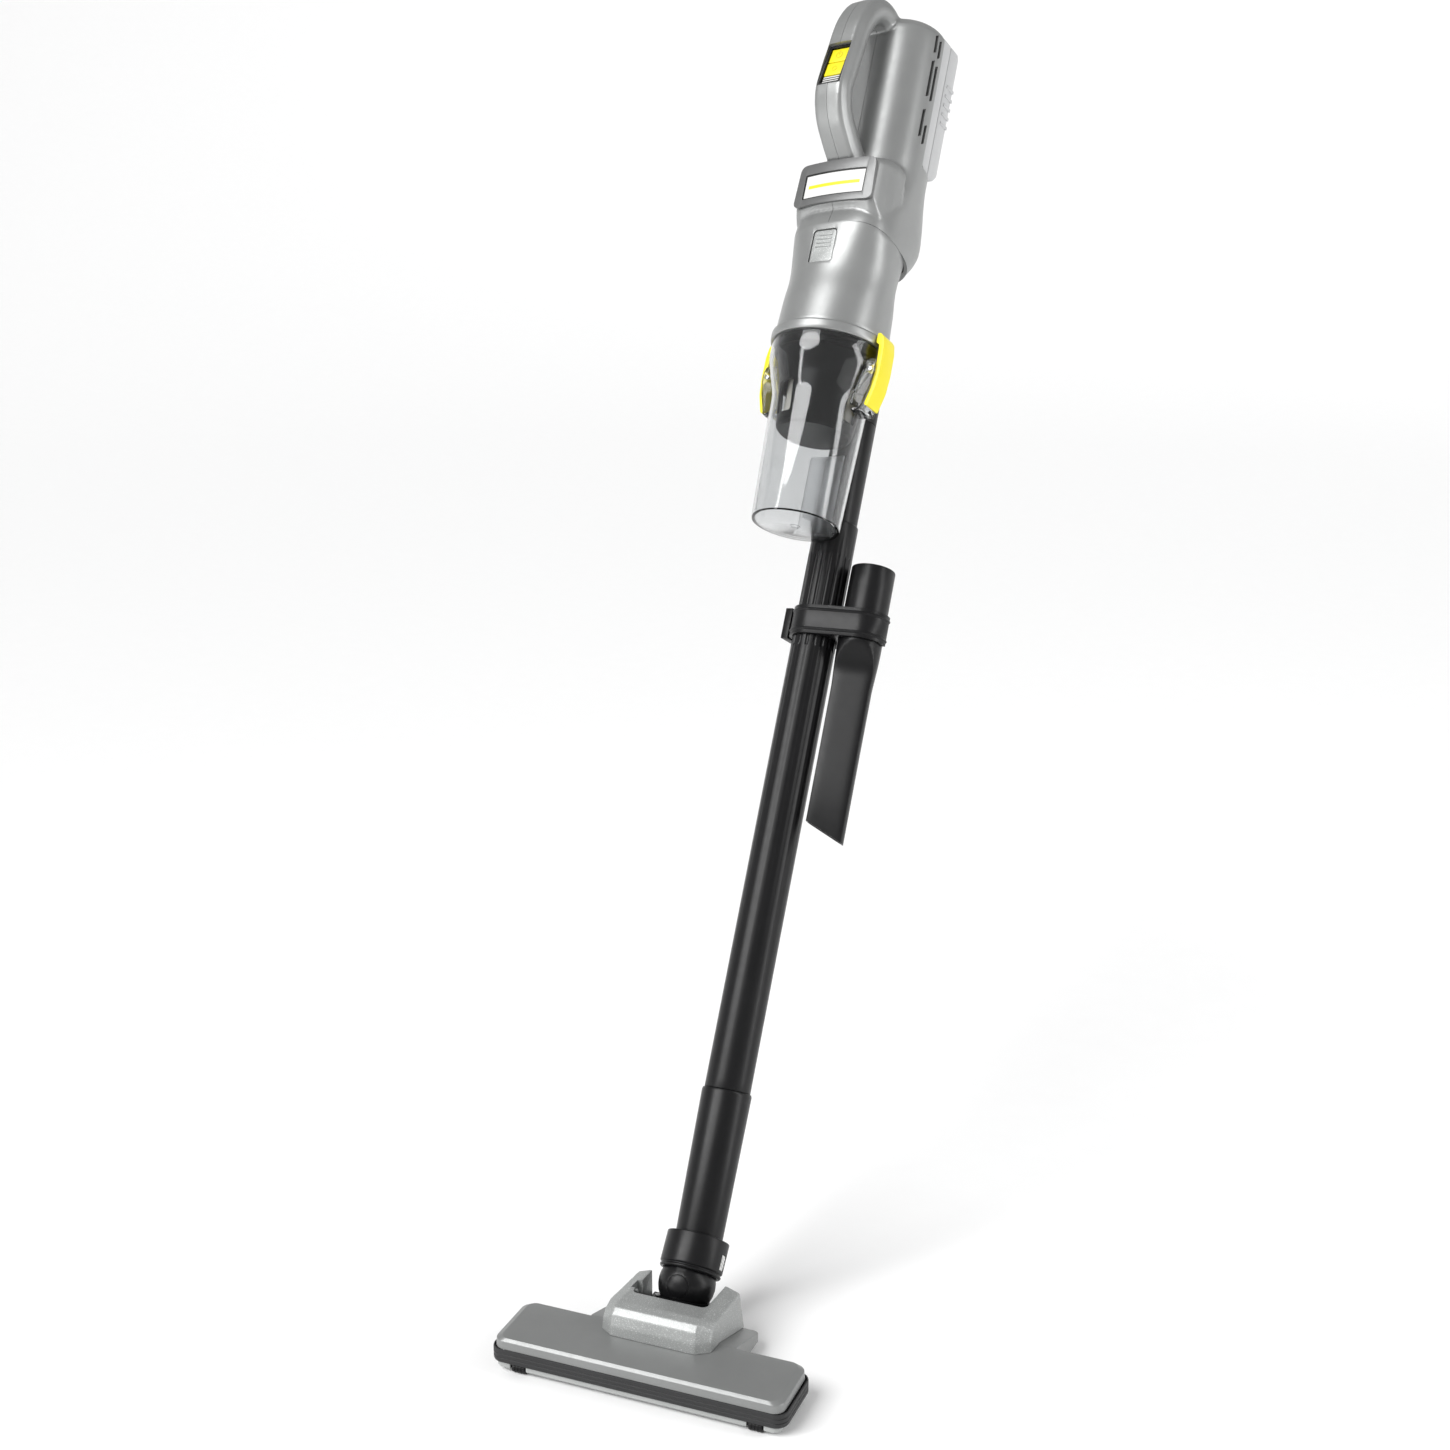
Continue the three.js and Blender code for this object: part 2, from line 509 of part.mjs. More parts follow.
// ---------------------------------------------------------------- the dust cup and its latches
function dustCup() {
  const { low, neck, shoulder, high, lowRadius, neckRadius, radius, wall } = CUP;
  const outer = turned([[0, low], [lowRadius - 1.2, low], [lowRadius, low + 1.4], [neckRadius, neck - 8],
    [neckRadius + 0.6, neck], [radius, shoulder], [radius, high], [0, high]], 48, 0, -CUP_Q);
  const inner = turned([[0, low + wall], [lowRadius - wall - 1, low + wall], [lowRadius - wall, low + wall + 1.4],
    [neckRadius - wall, neck - 8], [neckRadius - wall + 0.6, neck + 1], [radius - wall, shoulder + 1],
    [radius - wall, high + 1], [0, high + 1]], 48, 0, -CUP_Q);
  const behind = (q) => block(-70, 70, -q, 40, 741, 800);
  const port = block(-PORT.half, PORT.half, -30, -10, PORT.low, PORT.high);
  const mark = tube(4.4, 3.4, low - 0.6, low + 0.4, SMALL_ROUND, 0, -CUP_Q);
  const body = join(cut(outer, behind(CUP_BACK_Q)), mark, latchBracket(-1), latchBracket(1));
  return cut(body, cut(inner, behind(CUP_BACK_Q + wall)), port);
}

// Two side plates and a shelf that carry one latch.
function latchBracket(side) {
  const outline = [[38, 737], [49, 731.5], [51.5, 741], [55, 752], [57.2, 764], [57.2, 771], [55, 777], [44, 777]]
    .map(([x, s]) => [side * x, s]);
  const plate = (backQ, frontQ) => alongQ(side > 0 ? outline : [...outline].reverse(), backQ, frontQ);
  const shelf = block(Math.min(side * 36, side * 49), Math.max(side * 36, side * 49),
    -LATCH_Q.front - 1, -LATCH_Q.back + 1, 731.5, 733.8);
  const bore = qRod(PIN.radius + 0.15, side * PIN.x, PIN.s, PIN.backQ - 5, PIN.frontQ + 5);
  return cut(join(plate(PIN.backQ + 0.4, LATCH_Q.back - 0.5), plate(LATCH_Q.front + 0.5, PIN.frontQ - 0.4), shelf), bore);
}

// A rod along q in the hand unit.
const qRod = (radius, x, s, backQ, frontQ, facets = SMALL_ROUND) =>
  solid(new THREE.CylinderGeometry(radius, radius, frontQ - backQ, facets).translate(x, -(backQ + frontQ) / 2, s));

function latch(side) {
  const outline = [[51.2, 736.5], [54.4, 735.2], [59.2, 752], [60.6, 768], [60.4, 788], [58.6, 797.6], [55, 801.4],
    [52.2, 801.4], [52.2, 792.5], [55.6, 791], [56.4, 774], [54, 771.6], [50, 769.6], [50, 765.4], [55.4, 763], [55.2, 753]]
    .map(([x, s]) => [side * x, s]);
  const arm = alongQ(side > 0 ? outline : [...outline].reverse(), LATCH_Q.back, LATCH_Q.front);
  return cut(arm, qRod(PIN.radius + 0.15, side * PIN.x, PIN.s, 40, 80));
}

// A flat plate with a half-round channel, standing at the back of the cup's inside.
function cupBaffle() {
  const z0 = CUP.low + CUP.wall + GAP;
  const plate = block(-17, 17, -33, -31.2, z0, 706);
  const channel = tube(7.6, 6, z0, 700, 20, 9, -33).intersect(block(0, 20, -45, -32, z0, 700));
  return join(plate, channel);
}

function filterBasket() {
  const outer = turned([[0, 714], [31, 714], [33, 716], [38, 760], [44, 781], [47.1, 781], [47.1, 787], [0, 787]],
    32, 0, -CUP_Q);
  const inner = turned([[0, 716], [31, 716], [36, 760], [42, 782], [42, 790], [0, 790]], 32, 0, -CUP_Q);
  const backFlat = block(-70, 70, -CUP_BACK_Q - CUP.wall - 0.4, 40, 700, 800);
  const window = block(-24, -4, -110, -CUP_Q - 20, 724, 752);
  const slits = [-1, 1].map((side) => block(Math.min(side * 20, side * 60), Math.max(side * 20, side * 60),
    -CUP_Q - 9, -CUP_Q + 9, 724, 752));
  return cut(outer, inner, backFlat, window, ...slits);
}

function pleatedFilter() {
  const pleats = 20;
  const shape = new THREE.Shape(Array.from({ length: pleats * 2 }, (_, i) => {
    const angle = (i / (pleats * 2)) * 2 * Math.PI;
    const r = i % 2 ? 24 : 29.5;
    return new THREE.Vector2(r * Math.cos(angle), r * Math.sin(angle));
  }));
  const body = new THREE.ExtrudeGeometry(shape, { depth: 60, bevelEnabled: false }).translate(0, -CUP_Q, 718);
  return cut(solid(body), rod(20, 720, 800, 20, 0, -CUP_Q));
}

const cupGasket = () => cut(tube(47, 42.5, 787.3, 790.6, ROUND, 0, -CUP_Q),
  block(-70, 70, -CUP_BACK_Q - CUP.wall - 0.4, 40, 700, 800));

function suctionTube() {
  const { low, high, radius, bore, step, endRadius } = PIPE;
  return turned([[bore, low], [radius, low], [radius, step], [endRadius, step], [endRadius, high], [bore, high]]);
}

// The elbow behind the cup that takes the suction tube and opens forward into the cup.
function inletElbow() {
  const r = PIPE.radius;
  const face = -CUP_BACK_Q + 0.6;
  const outer = join(
    rod(r, PIPE.step + GAP, 790),
    block(-r + 0.6, r - 0.6, face, 0, PORT.low - 4, PORT.high + 4),
    hull([...roundedLoop(-r, r, -r, r, 12, 786), ...roundedLoop(-r, r, -24, 4, 8, 836)]),
  );
  const seat = rod(PIPE.endRadius + GAP, 740, PIPE.high + GAP);
  const chamber = join(rod(14.6, 750, 782), block(-PORT.half, PORT.half, -30, 8, PORT.low, PORT.high));
  const barrel = join(rod(RING.radius + 0.5, RING.low - 0.6, RING.high + 0.3, 48, 0, -CUP_Q),
    loft(BARREL_SECTIONS.map((row) => bodyRing(row, -0.4, 40))));
  return cut(outer, seat, chamber, barrel);
}

// ---------------------------------------------------------------- the hand unit's housings
const aboveSeam = (shift) => alongX([[-200, SEAM.s + SEAM.slope * (200 - CUP_Q) + shift],
  [100, SEAM.s - SEAM.slope * (100 + CUP_Q) + shift], [100, 1400], [-200, 1400]], -90, 90);

const notches = () => [-1, 1].map((side) => block(Math.min(side * 50.4, side * 70), Math.max(side * 50.4, side * 70),
  -LATCH_Q.front - 0.7, -LATCH_Q.back + 0.7, 780, 803));

function filterHousing() {
  const outer = loft(BARREL_SECTIONS.map((row) => bodyRing(row, 0, 40)));
  const ends = BARREL_SECTIONS.map(([s, ...rest], i) => [s + (i === 0 ? -1 : i === 3 ? 1 : 0), ...rest]);
  const inner = loft(ends.map((row) => bodyRing(row, SHELL_WALL, 40)));
  const buttonHole = block(-12.1, 12.1, -120, -80, 857.1, 888.4);
  return cut(outer, inner, aboveSeam(-0.2), buttonHole, ...notches());
}

const housingRing = () => cut(tube(RING.radius, RING.bore, RING.low, RING.high, 48, 0, -CUP_Q), ...notches());

// A bowed plate: its front is an arc across x.
function bowedPlate(lowHalf, highHalf, low, high, q, thick, corner) {
  const front = (x) => -q + (x * x) / (2 * PLATE.bow);
  const steps = 8;
  const span = (half, offset) => Array.from({ length: steps + 1 }, (_, i) => {
    const x = -half + (2 * half * i) / steps;
    return [x, front(x) + offset];
  });
  const wide = lowHalf + 2;
  const bow = new THREE.Shape([...span(wide, 0), ...span(wide, thick).reverse()].map(([x, y]) => new THREE.Vector2(x, y)));
  const sheet = solid(new THREE.ExtrudeGeometry(bow, { depth: 80, bevelEnabled: false }).translate(0, 0, low - 20));
  const corners = [[lowHalf, low, -1], [highHalf, high, 1]].flatMap(([half, s, end]) =>
    [-1, 1].flatMap((side) => Array.from({ length: 5 }, (_, i) => {
      const angle = (i / 4) * Math.PI / 2;
      return [side * (half - corner + corner * Math.cos(angle)), s - end * corner + end * corner * Math.sin(angle)];
    })));
  return sheet.intersect(hull(corners.flatMap(([x, s]) => [[x, -q - 20, s], [x, -q + 30, s]])));
}

// The block under the name plate, flaring back into the body: q, half width, lowest s, highest s, corner.
const PEDESTAL = [[99.2, 19, 914, 951, 8], [96.2, 38.8, 911.6, 953.8, 6], [90, 39.8, 908.5, 956, 7],
  [82, 42, 902, 960, 9], [74, 44, 896, 963, 12], [62, 45.4, 892, 964, 16]];

const plateBlock = (grow = 0) => loft(PEDESTAL.map(([q, half, low, high, corner]) =>
  roundedLoop(-half - grow, half + grow, low - grow, high + grow, corner, 0).map(([x, s]) => at(x, s, q + grow))));

function handleRing([q, s], [beforeQ, beforeS], [afterQ, afterS], half, thick) {
  const along = new THREE.Vector2(afterQ - beforeQ, afterS - beforeS).normalize();
  const out = new THREE.Vector2(-along.y, along.x);
  return Array.from({ length: 20 }, (_, i) => {
    const angle = (i / 20) * 2 * Math.PI;
    const c = Math.cos(angle);
    const d = Math.sin(angle);
    const depth = Math.sign(d) * thick * Math.abs(d) ** 0.6;
    return at(Math.sign(c) * half * Math.abs(c) ** 0.6, s + out.y * depth, q + out.x * depth);
  });
}

function handleBar(half, thick) {
  const line = HANDLE_LINE;
  const rings = line.map((point, i) =>
    handleRing(point, line[Math.max(i - 1, 0)], line[Math.min(i + 1, line.length - 1)], half, thick));
  return loft(rings);
}

// The vent slots of one side, cut through the wall in two staggered columns.
function vents(side) {
  const columns = [[53, [[1079, 1096], [1036, 1071], [997, 1023]]], [47.6, [[1076, 1093], [1034, 1068], [992, 1010]]]];
  return columns.flatMap(([q, spans]) => spans.map(([low, high]) =>
    block(Math.min(side * 40, side * 60), Math.max(side * 40, side * 60), -q - 1.7, -q + 1.7, low, high)));
}

// The screws that close the two halves: s, q, and the x of the head's outer end.
// Each has its head in a recess of a boss inside the left half.
const SCREWS = [[900, 84, -37.5], [1094, 58, -41]];
const SCREW = { head: 3.2, shank: 1.6, headHigh: 2.4, long: 17, boss: 5.6 };

// The handle bar, hollow, with its ends shaped to the housing.
function handle() {
  const grown = BODY_SECTIONS.map(([s, ...rest], i) => [s + (i === BODY_SECTIONS.length - 1 ? GAP : 0), ...rest]);
  const body = join(loft(grown.map((row) => bodyRing(row, -GAP))), plateBlock(GAP));
  const inner = handleBar(HANDLE.half - HANDLE.wall, HANDLE.thick - HANDLE.wall);
  return cut(handleBar(HANDLE.half, HANDLE.thick), body, inner, panelHole());
}

function mainHousing() {
  const outer = join(loft(BODY_SECTIONS.map((row) => bodyRing(row))), plateBlock());
  const last = BODY_SECTIONS.length - 1;
  const bayRear = block(-70, 70, -BAY.q, 60, BAY.low, 1200);
  const body = cut(outer, bayRear, cut(aboveSeam(-400), aboveSeam(0.2)));
  const hollowRows = BODY_SECTIONS.slice(0, last).map(([s, ...rest], i) => [s - (i === 0 ? 2 : 0), ...rest]);
  const bayWall = block(-70, 70, -BAY.q - SHELL_WALL, 60, BAY.low - SHELL_WALL, 1200);
  const hollow = cut(loft(hollowRows.map((row) => bodyRing(row, SHELL_WALL))), bayWall);
  const shell = cut(body, hollow, ...vents(-1), ...vents(1));
  const bosses = SCREWS.map(([s, q, out]) => xRod(SCREW.boss, -60, out + SCREW.long - 4, s, q).intersect(body));
  const holes = SCREWS.flatMap(([s, q, out]) => [xRod(4, -70, out + SCREW.headHigh + GAP, s, q),
    xRod(SCREW.shank + GAP, -60, out + SCREW.long + 1, s, q, 8)]);
  return cut(join(shell, ...bosses), ...holes);
}

// A rod along x in the hand unit.
const xRod = (radius, x0, x1, s, q, facets = SMALL_ROUND) => axle(radius, x0, x1, -q, s, facets);

// Shapes on the handle's front face are drawn flat and tilted onto it.
const onPanel = (made) => made
  .rotate([-PANEL.tilt, 0, 0])
  .translate([0, -PANEL.q, PANEL.s]);

const panelHole = () => onPanel(block(-PANEL.half - GAP, PANEL.half + GAP, -12, PANEL.depth, -PANEL.high - GAP, PANEL.high + GAP));

const BUTTONS = { half: 9, upper: [4.2, 18.8], lower: [-10.6, 3.4] };

function buttonPanel() {
  const body = block(-PANEL.half, PANEL.half, -0.4, 5.6, -PANEL.high, PANEL.high);
  const tray = block(-BUTTONS.half - GAP, BUTTONS.half + GAP, -2, 2.4, -19.6, 19.2);
  const holes = [BUTTONS.upper, BUTTONS.lower].map(([low, high]) =>
    block(-BUTTONS.half - GAP, BUTTONS.half + GAP, -2, 8, low - GAP, high + GAP));
  return onPanel(cut(body, tray, holes[0], holes[1]));
}

const panelButton = ([low, high]) => onPanel(join(
  block(-BUTTONS.half, BUTTONS.half, 0.8, 4.2, low, high),
  block(-4, 4, 4, 7.4, (low + high) / 2 - 2.5, (low + high) / 2 + 2.5)));

function indicatorStrips() {
  const strips = [0, 1, 2].map((i) => block(-8.4, 8.4, 1.2, 2.0, -13.4 - i * 2.4, -12.2 - i * 2.4));
  return onPanel(join(block(-8.4, 8.4, 1.6, 2.1, -18.9, -11.8), ...strips));
}

function releaseButton() {
  const q = 99.6;
  const corner = 3.5;
  const top = Array.from({ length: 5 }, (_, i) => {
    const angle = (i / 4) * Math.PI / 2;
    return [11.8 - corner + corner * Math.cos(angle), 888.1 - corner + corner * Math.sin(angle)];
  });
  const outline = [[-11.8, 857.4], [11.8, 857.4], ...top, ...top.map(([x, s]) => [-x, s]).reverse()];
  const face = alongQ(outline, q - 6, q - 0.8);
  const ribs = [0, 1, 2, 3].map((i) => block(-8, 8, -q + 0.2, -q + 1.2, 871.8 + i * 3.6, 872.9 + i * 3.6));
  return join(face, ...ribs);
}

// ---------------------------------------------------------------- the battery
function batteryForm(inset) {
  const outline = [[-41.4, 993], [-31, 981], [-21, 974.2], [-11, 976.5], [-1, 989], [-1, 1096], [-9, 1104.5], [-41.4, 1106]];
  const middle = [-20, 1040];
  const pulled = outline.map(([y, z]) => {
    const away = new THREE.Vector2(y - middle[0], z - middle[1]);
    return [y - Math.sign(away.x) * inset, z - Math.sign(away.y) * inset];
  });
  const side = alongX(pulled, -39 + inset, 39 - inset);
  const plan = roundedSlab(-39 + inset, 39 - inset, -41.4 + inset, -1 - inset, 8 - inset, 900, 1200);
  return side.intersect(plan);
}

const railChannel = () => block(-21, 21, -50, -33.6, 900, 1080);

function batteryHalf(front) {
  const q = 21;
  const keep = front ? block(-60, 60, -80, -q - 0.15, 900, 1200) : block(-60, 60, -q + 0.15, 40, 900, 1200);
  const shell = cut(batteryForm(0), batteryForm(2.4)).intersect(keep);
  const lip = block(-21 - 2.4, 21 + 2.4, -41.2, -31.2, 985, 1082.4).intersect(batteryForm(0.5)).intersect(keep);
  return front ? cut(join(shell, lip), railChannel()) : cut(shell, block(-12.4, 12.4, -18.4, -5.6, 1090, 1120));
}

function cellPack() {
  const cells = [0, 1, 2, 3, 4].map((i) => axle(9, -33, 33, -12.8, 1000 + i * 18.2 + 6, 12));
  return join(...cells, block(-28, 28, -20, -13, 1000, 1084));
}

function batteryButton() {
  return join(block(-12, 12, -18, -6, 1099, 1107.6), block(-8, 8, -15, -9, 1095, 1100));
}

function batteryRail() {
  const rail = block(-17, 17, -BAY.q + GAP, -36, 992, 1074);
  const lips = block(-19, 19, -38, -36, 992, 1074);
  const slots = [-9, 0, 9].map((x) => block(x - 1, x + 1, -37.4, -30, 1000, 1030));
  return cut(join(rail, lips), ...slots);
}

// ---------------------------------------------------------------- the motor and fan
const rotorTurned = (profile, facets = 24) => turned(profile, facets, 0, -ROTOR_Q);

function impeller() {
  const disc = rotorTurned([[2.8, 850], [7, 850], [9, 866], [30, 868], [30, 870], [2.8, 870]]);
  const blade = block(6, 29, -0.6, 0.6, 854, 869);
  const blades = Array.from({ length: 9 }, (_, i) =>
    blade.rotate([0, 0, (360 * i) / 9]).translate([0, -ROTOR_Q, 0]));
  return join(disc, ...blades);
}

const fanCover = () => rotorTurned([[13, 845], [34, 849], [34, 878], [32, 878], [32, 851], [13, 847]], 32);
const motorCan = () => rotorTurned([[3, 886], [21, 886], [21, 948], [3, 948], [3, 946], [18.6, 946], [18.6, 888], [3, 888]]);
const motorMount = () => rotorTurned([[21.3, 936], [26, 936], [26, 944], [21.3, 944]]);
// The motor's core on its shaft.
const motorCore = () => rotorTurned([[0, 847], [2.5, 847], [2.5, 892], [15, 892], [15, 942], [2.5, 942], [2.5, 952], [0, 952]], 20);

// A wheel with its axle's two ends, resting on the floor.
const wheelOn = (x, { half, radius, y }, axleRadius, facets) => join(
  axle(radius, x - half, x + half, y, radius, facets),
  axle(axleRadius, x - half - 3, x + half + 3, y, radius, 12));

// ---------------------------------------------------------------- assembly
const vacuum = new THREE.Group();

function addNozzle() {
  const group = new THREE.Group();
  vacuum.add(group);
  node(group, "nozzle_cover", coverShell(), coverGray);
  node(group, "bumper_band", bumperBand(), bandBlack);
  node(group, "sole_plate", solePlate(), lightGray);
  node(group, "neck_cover", neckCover(), silverLight);
  node(group, "ball_cradle", ballCradle(), black);
  node(group, "air_duct", airDuct(), black);
  node(group, "rear_glide_strip", glideStrip(GLIDE.rearY), rubber);
  node(group, "front_glide_strip", glideStrip(GLIDE.frontY), rubber);
  node(group, "rear_bristle_strip", bristleStrip(BRISTLE.rearY), bristle);
  node(group, "front_bristle_strip", bristleStrip(BRISTLE.frontY), bristle);
  for (const [side, word] of [[-1, "left"], [1, "right"]]) {
    const f = FRONT_ROLLER;
    const r = REAR_WHEEL;
    node(group, `front_roller_${word}`, wheelOn(side * f.x, f, 1.5, 20), black);
    node(group, `rear_wheel_${word}`, wheelOn(side * r.x, r, 2, 24), rubber);
  }
}

function addNeck() {
  const group = new THREE.Group();
  group.position.set(0, BALL.y, BALL.z);
  group.rotation.x = -NECK_LEAN;
  vacuum.add(group);
  node(group, "ball_elbow", cut(ballElbow(), capRod(CAP.radius + GAP, CAP.low - GAP, 40)), black);
  node(group, "elbow_cap", capRod(CAP.radius, CAP.low, 40).intersect(ball(CAP.dome, 0, 0)), black);
  node(group, "swivel_collar", swivelCollar(), black);
  node(group, "lock_slider", lockSlider(), white);
}

function addStick() {
  const group = new THREE.Group();
  group.position.set(0, STICK_FOOT.y, STICK_FOOT.z);
  group.rotation.x = -STICK_LEAN;
  vacuum.add(group);
  node(group, "lower_sleeve", lowerSleeve(), black);
  node(group, "wand_tube", wandTube(), black);
  node(group, "wand_seal", tube(WAND.socket - GAP, 15, WAND.socketLow + GAP, WAND.socketLow + 5), rubber);
  const unit = new THREE.Group();
  unit.rotation.z = UNIT_TURN;
  group.add(unit);
  return unit;
}

function addTools(unit) {
  node(unit, "tool_clip", toolClip(), black);
  node(unit, "clip_tab", clipTab(), black);
  const tool = node(unit, "crevice_tool", creviceTool(), black);
  tool.position.set(CREVICE.x, -CREVICE.q, 0);
  tool.rotation.z = THREE.MathUtils.degToRad(CREVICE.turn);
}

function addCup(unit) {
  node(unit, "suction_tube", suctionTube(), black);
  node(unit, "inlet_elbow", inletElbow(), black);
  node(unit, "dust_cup", dustCup(), clear);
  node(unit, "cup_baffle", cupBaffle(), clear);
  node(unit, "cup_gasket", cupGasket(), rubber);
  node(unit, "filter_basket", filterBasket(), black);
  node(unit, "pleated_filter", pleatedFilter(), filterWhite);
  for (const [side, word] of [[-1, "left"], [1, "right"]]) {
    node(unit, `latch_${word}`, latch(side), yellow);
    node(unit, `latch_pin_${word}`, qRod(PIN.radius, side * PIN.x, PIN.s, PIN.backQ, PIN.frontQ), steel);
  }
}

function addHousings(unit) {
  const housing = mainHousing();
  const half = (side) => block(Math.min(side * 0.15, side * 90), Math.max(side * 0.15, side * 90), -200, 60, 800, 1200);
  node(unit, "housing_left", housing.intersect(half(-1)), silver);
  node(unit, "housing_right", housing.intersect(half(1)), silver);
  node(unit, "handle", handle(), silver);
  node(unit, "filter_housing", filterHousing(), silver);
  node(unit, "housing_ring", housingRing(), silver);
  const plate = bowedPlate(PLATE.lowHalf, PLATE.highHalf, PLATE.low, PLATE.high, PLATE.q, PLATE.thick, 5.5);
  const window = block(-LABEL.half, LABEL.half, -120, -PLATE.q + 8, LABEL.low, LABEL.high);
  node(unit, "name_plate", cut(plate, window), silver);
  node(unit, "label", bowedPlate(LABEL.half - GAP, LABEL.half - GAP, LABEL.low + GAP, LABEL.high - GAP,
    PLATE.q - 1, 1.2, 2), white);
  node(unit, "release_button", releaseButton(), silverLight);
  node(unit, "button_panel", buttonPanel(), black);
  node(unit, "power_button", panelButton(BUTTONS.upper), yellow);
  node(unit, "boost_button", panelButton(BUTTONS.lower), yellow);
  node(unit, "indicator_strips", indicatorStrips(), white);
  SCREWS.forEach(([s, q, out], i) => {
    const head = xRod(SCREW.head, out, out + SCREW.headHigh, s, q);
    node(unit, `housing_screw_${i + 1}`, join(head, xRod(SCREW.shank, out + 1, out + SCREW.long, s, q, 8)), steel);
  });
}

function addInsides(unit) {
  node(unit, "circuit_board", block(-30, 30, -58, -56.4, 984, 1082), boardGreen);
  node(unit, "fan_cover", fanCover(), black);
  node(unit, "impeller", impeller(), white);
  node(unit, "motor_can", motorCan(), steel);
  node(unit, "motor_core", motorCore(), copper);
  node(unit, "motor_mount", motorMount(), rubber);
}

function addBattery(unit) {
  node(unit, "battery_rail", batteryRail(), black);
  node(unit, "battery_base", batteryHalf(true), frosted);
  node(unit, "battery_cover", batteryHalf(false), frosted);
  node(unit, "cell_pack", cellPack(), cellBlue);
  node(unit, "battery_button", batteryButton(), frosted);
}

addNozzle();
addNeck();
const unit = addStick();
addTools(unit);
addCup(unit);
addHousings(unit);
addInsides(unit);
addBattery(unit);

export default vacuum;
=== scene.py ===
"""Looks of a cordless stick vacuum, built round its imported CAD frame.

Shapes are drawn in millimetres in the same local frames as the CAD part: the floor nozzle's,
the neck's, the stick's, and the hand unit's (x across, s along the stick, q forward from its axis).
"""

import json
import math

import bmesh
import bpy
from mathutils import Matrix, Vector


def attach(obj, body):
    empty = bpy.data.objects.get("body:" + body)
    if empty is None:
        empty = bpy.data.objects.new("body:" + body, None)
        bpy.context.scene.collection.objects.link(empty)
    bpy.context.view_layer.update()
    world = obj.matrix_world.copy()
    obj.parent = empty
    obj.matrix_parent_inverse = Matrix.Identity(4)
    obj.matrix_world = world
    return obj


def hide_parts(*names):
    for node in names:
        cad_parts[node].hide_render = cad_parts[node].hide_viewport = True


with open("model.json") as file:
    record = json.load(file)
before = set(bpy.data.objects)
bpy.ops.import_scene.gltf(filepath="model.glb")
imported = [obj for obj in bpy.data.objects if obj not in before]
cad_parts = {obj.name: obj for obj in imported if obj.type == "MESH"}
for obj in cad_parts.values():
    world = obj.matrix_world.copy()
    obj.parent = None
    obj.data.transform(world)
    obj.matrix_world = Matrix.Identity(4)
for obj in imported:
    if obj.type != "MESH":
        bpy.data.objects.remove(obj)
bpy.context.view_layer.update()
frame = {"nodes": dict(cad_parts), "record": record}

# ---------------------------------------------------------------- frames and driving sizes
MM = 0.001
STICK_LEAN = math.radians(30.84)
NECK_LEAN = math.radians(41)
UNIT_TURN = math.radians(-15.5)
NOZZLE = Matrix.Scale(MM, 4)
STICK = NOZZLE @ Matrix.Translation((0, 62, 35)) @ Matrix.Rotation(-STICK_LEAN, 4, "X")
UNIT = STICK @ Matrix.Rotation(UNIT_TURN, 4, "Z")
NECK = NOZZLE @ Matrix.Translation((0, 59.5, 44.2)) @ Matrix.Rotation(-NECK_LEAN, 4, "X")

SIDES = ((-1, "left"), (1, "right"))
SHELL_WALL = 3.0
CUP_Q = 59.5
SEAM_S = 885.2
SEAM_SLOPE = math.tan(math.radians(14))
PANEL_LEAN = math.radians(-11.4)
PANEL_PLACE = UNIT @ Matrix.Translation((0, -132.6, 1027)) @ Matrix.Rotation(PANEL_LEAN, 4, "X")
# The battery bay: q of its front wall and its lowest s.
BAY_Q = 42
BAY_LOW = 972.5
# The latch pins, the latches' and brackets' bore for them, and the crevice tool's axis in the clip.
PIN_X = 52.8
PIN_S = 767.5
PIN_RADIUS = 2.1
PIN_BORE = 2.25
TOOL_X = 40.7
TOOL_Y = 9.2
WAND_RADIUS = 19.1

# Sections of the hand unit's body: s, half width, middle q, front q, back q, squareness.
BARREL_SECTIONS = [
    (800.4, 49.6, CUP_Q, 108, 11, 2),
    (830, 49.3, CUP_Q, 104.8, 14.5, 2),
    (860, 49, CUP_Q, 101, 19, 2),
    (905, 49, CUP_Q, 99.5, 19, 2.9),
]
BODY_SECTIONS = [
    (862, 48.9, CUP_Q, 100.5, 19, 2.1),
    (878, 49, 57, 100, 13, 2.6),
    (892, 48.8, 52, 98.8, 6, 3.1),
    (908, 47.8, 46, 95, 4.5, 3.5),
    (950, 46.4, 42, 84, 4.5, 2.4),
    (985, 46.2, 42, 82, 4.5, 2.3),
    (1085, 45.4, 42, 82, 6, 2.3),
    (1101, 42.5, 42, 79, 9, 2.2),
    (1109, 34, 42, 71, 16, 2.1),
]
# The block under the name plate: q, half width, lowest s, highest s, corner.
PEDESTAL = [
    (99.2, 19, 914, 951, 8),
    (96.2, 38.8, 911.6, 953.8, 6),
    (91, 41, 904, 956, 7),
    (82, 43.6, 892, 960, 9),
    (74, 45.2, 884, 963, 12),
    (62, 46.4, 880, 964, 16),
]
# Middle line of the handle: q, s.
HANDLE_LINE = [(62, 1093), (86, 1101), (104, 1094), (116, 1073), (121, 1046), (125, 1020), (126, 1003),
               (119, 986), (106, 973), (92, 962), (76, 950)]
# The vent slots of one side, a column to a row: q, then each slot's lowest and highest s.
VENTS = [
    (53, ((1079, 1096), (1036, 1071), (997, 1023))),
    (47.6, ((1076, 1093), (1034, 1068), (992, 1010))),
]
VENT_HALF = 1.7
VENT_SLANT = 1.2
# The two screws: s, q, and the x of the head's outer end.
SCREWS = [(900, 84, -37.5), (1094, 58, -41)]
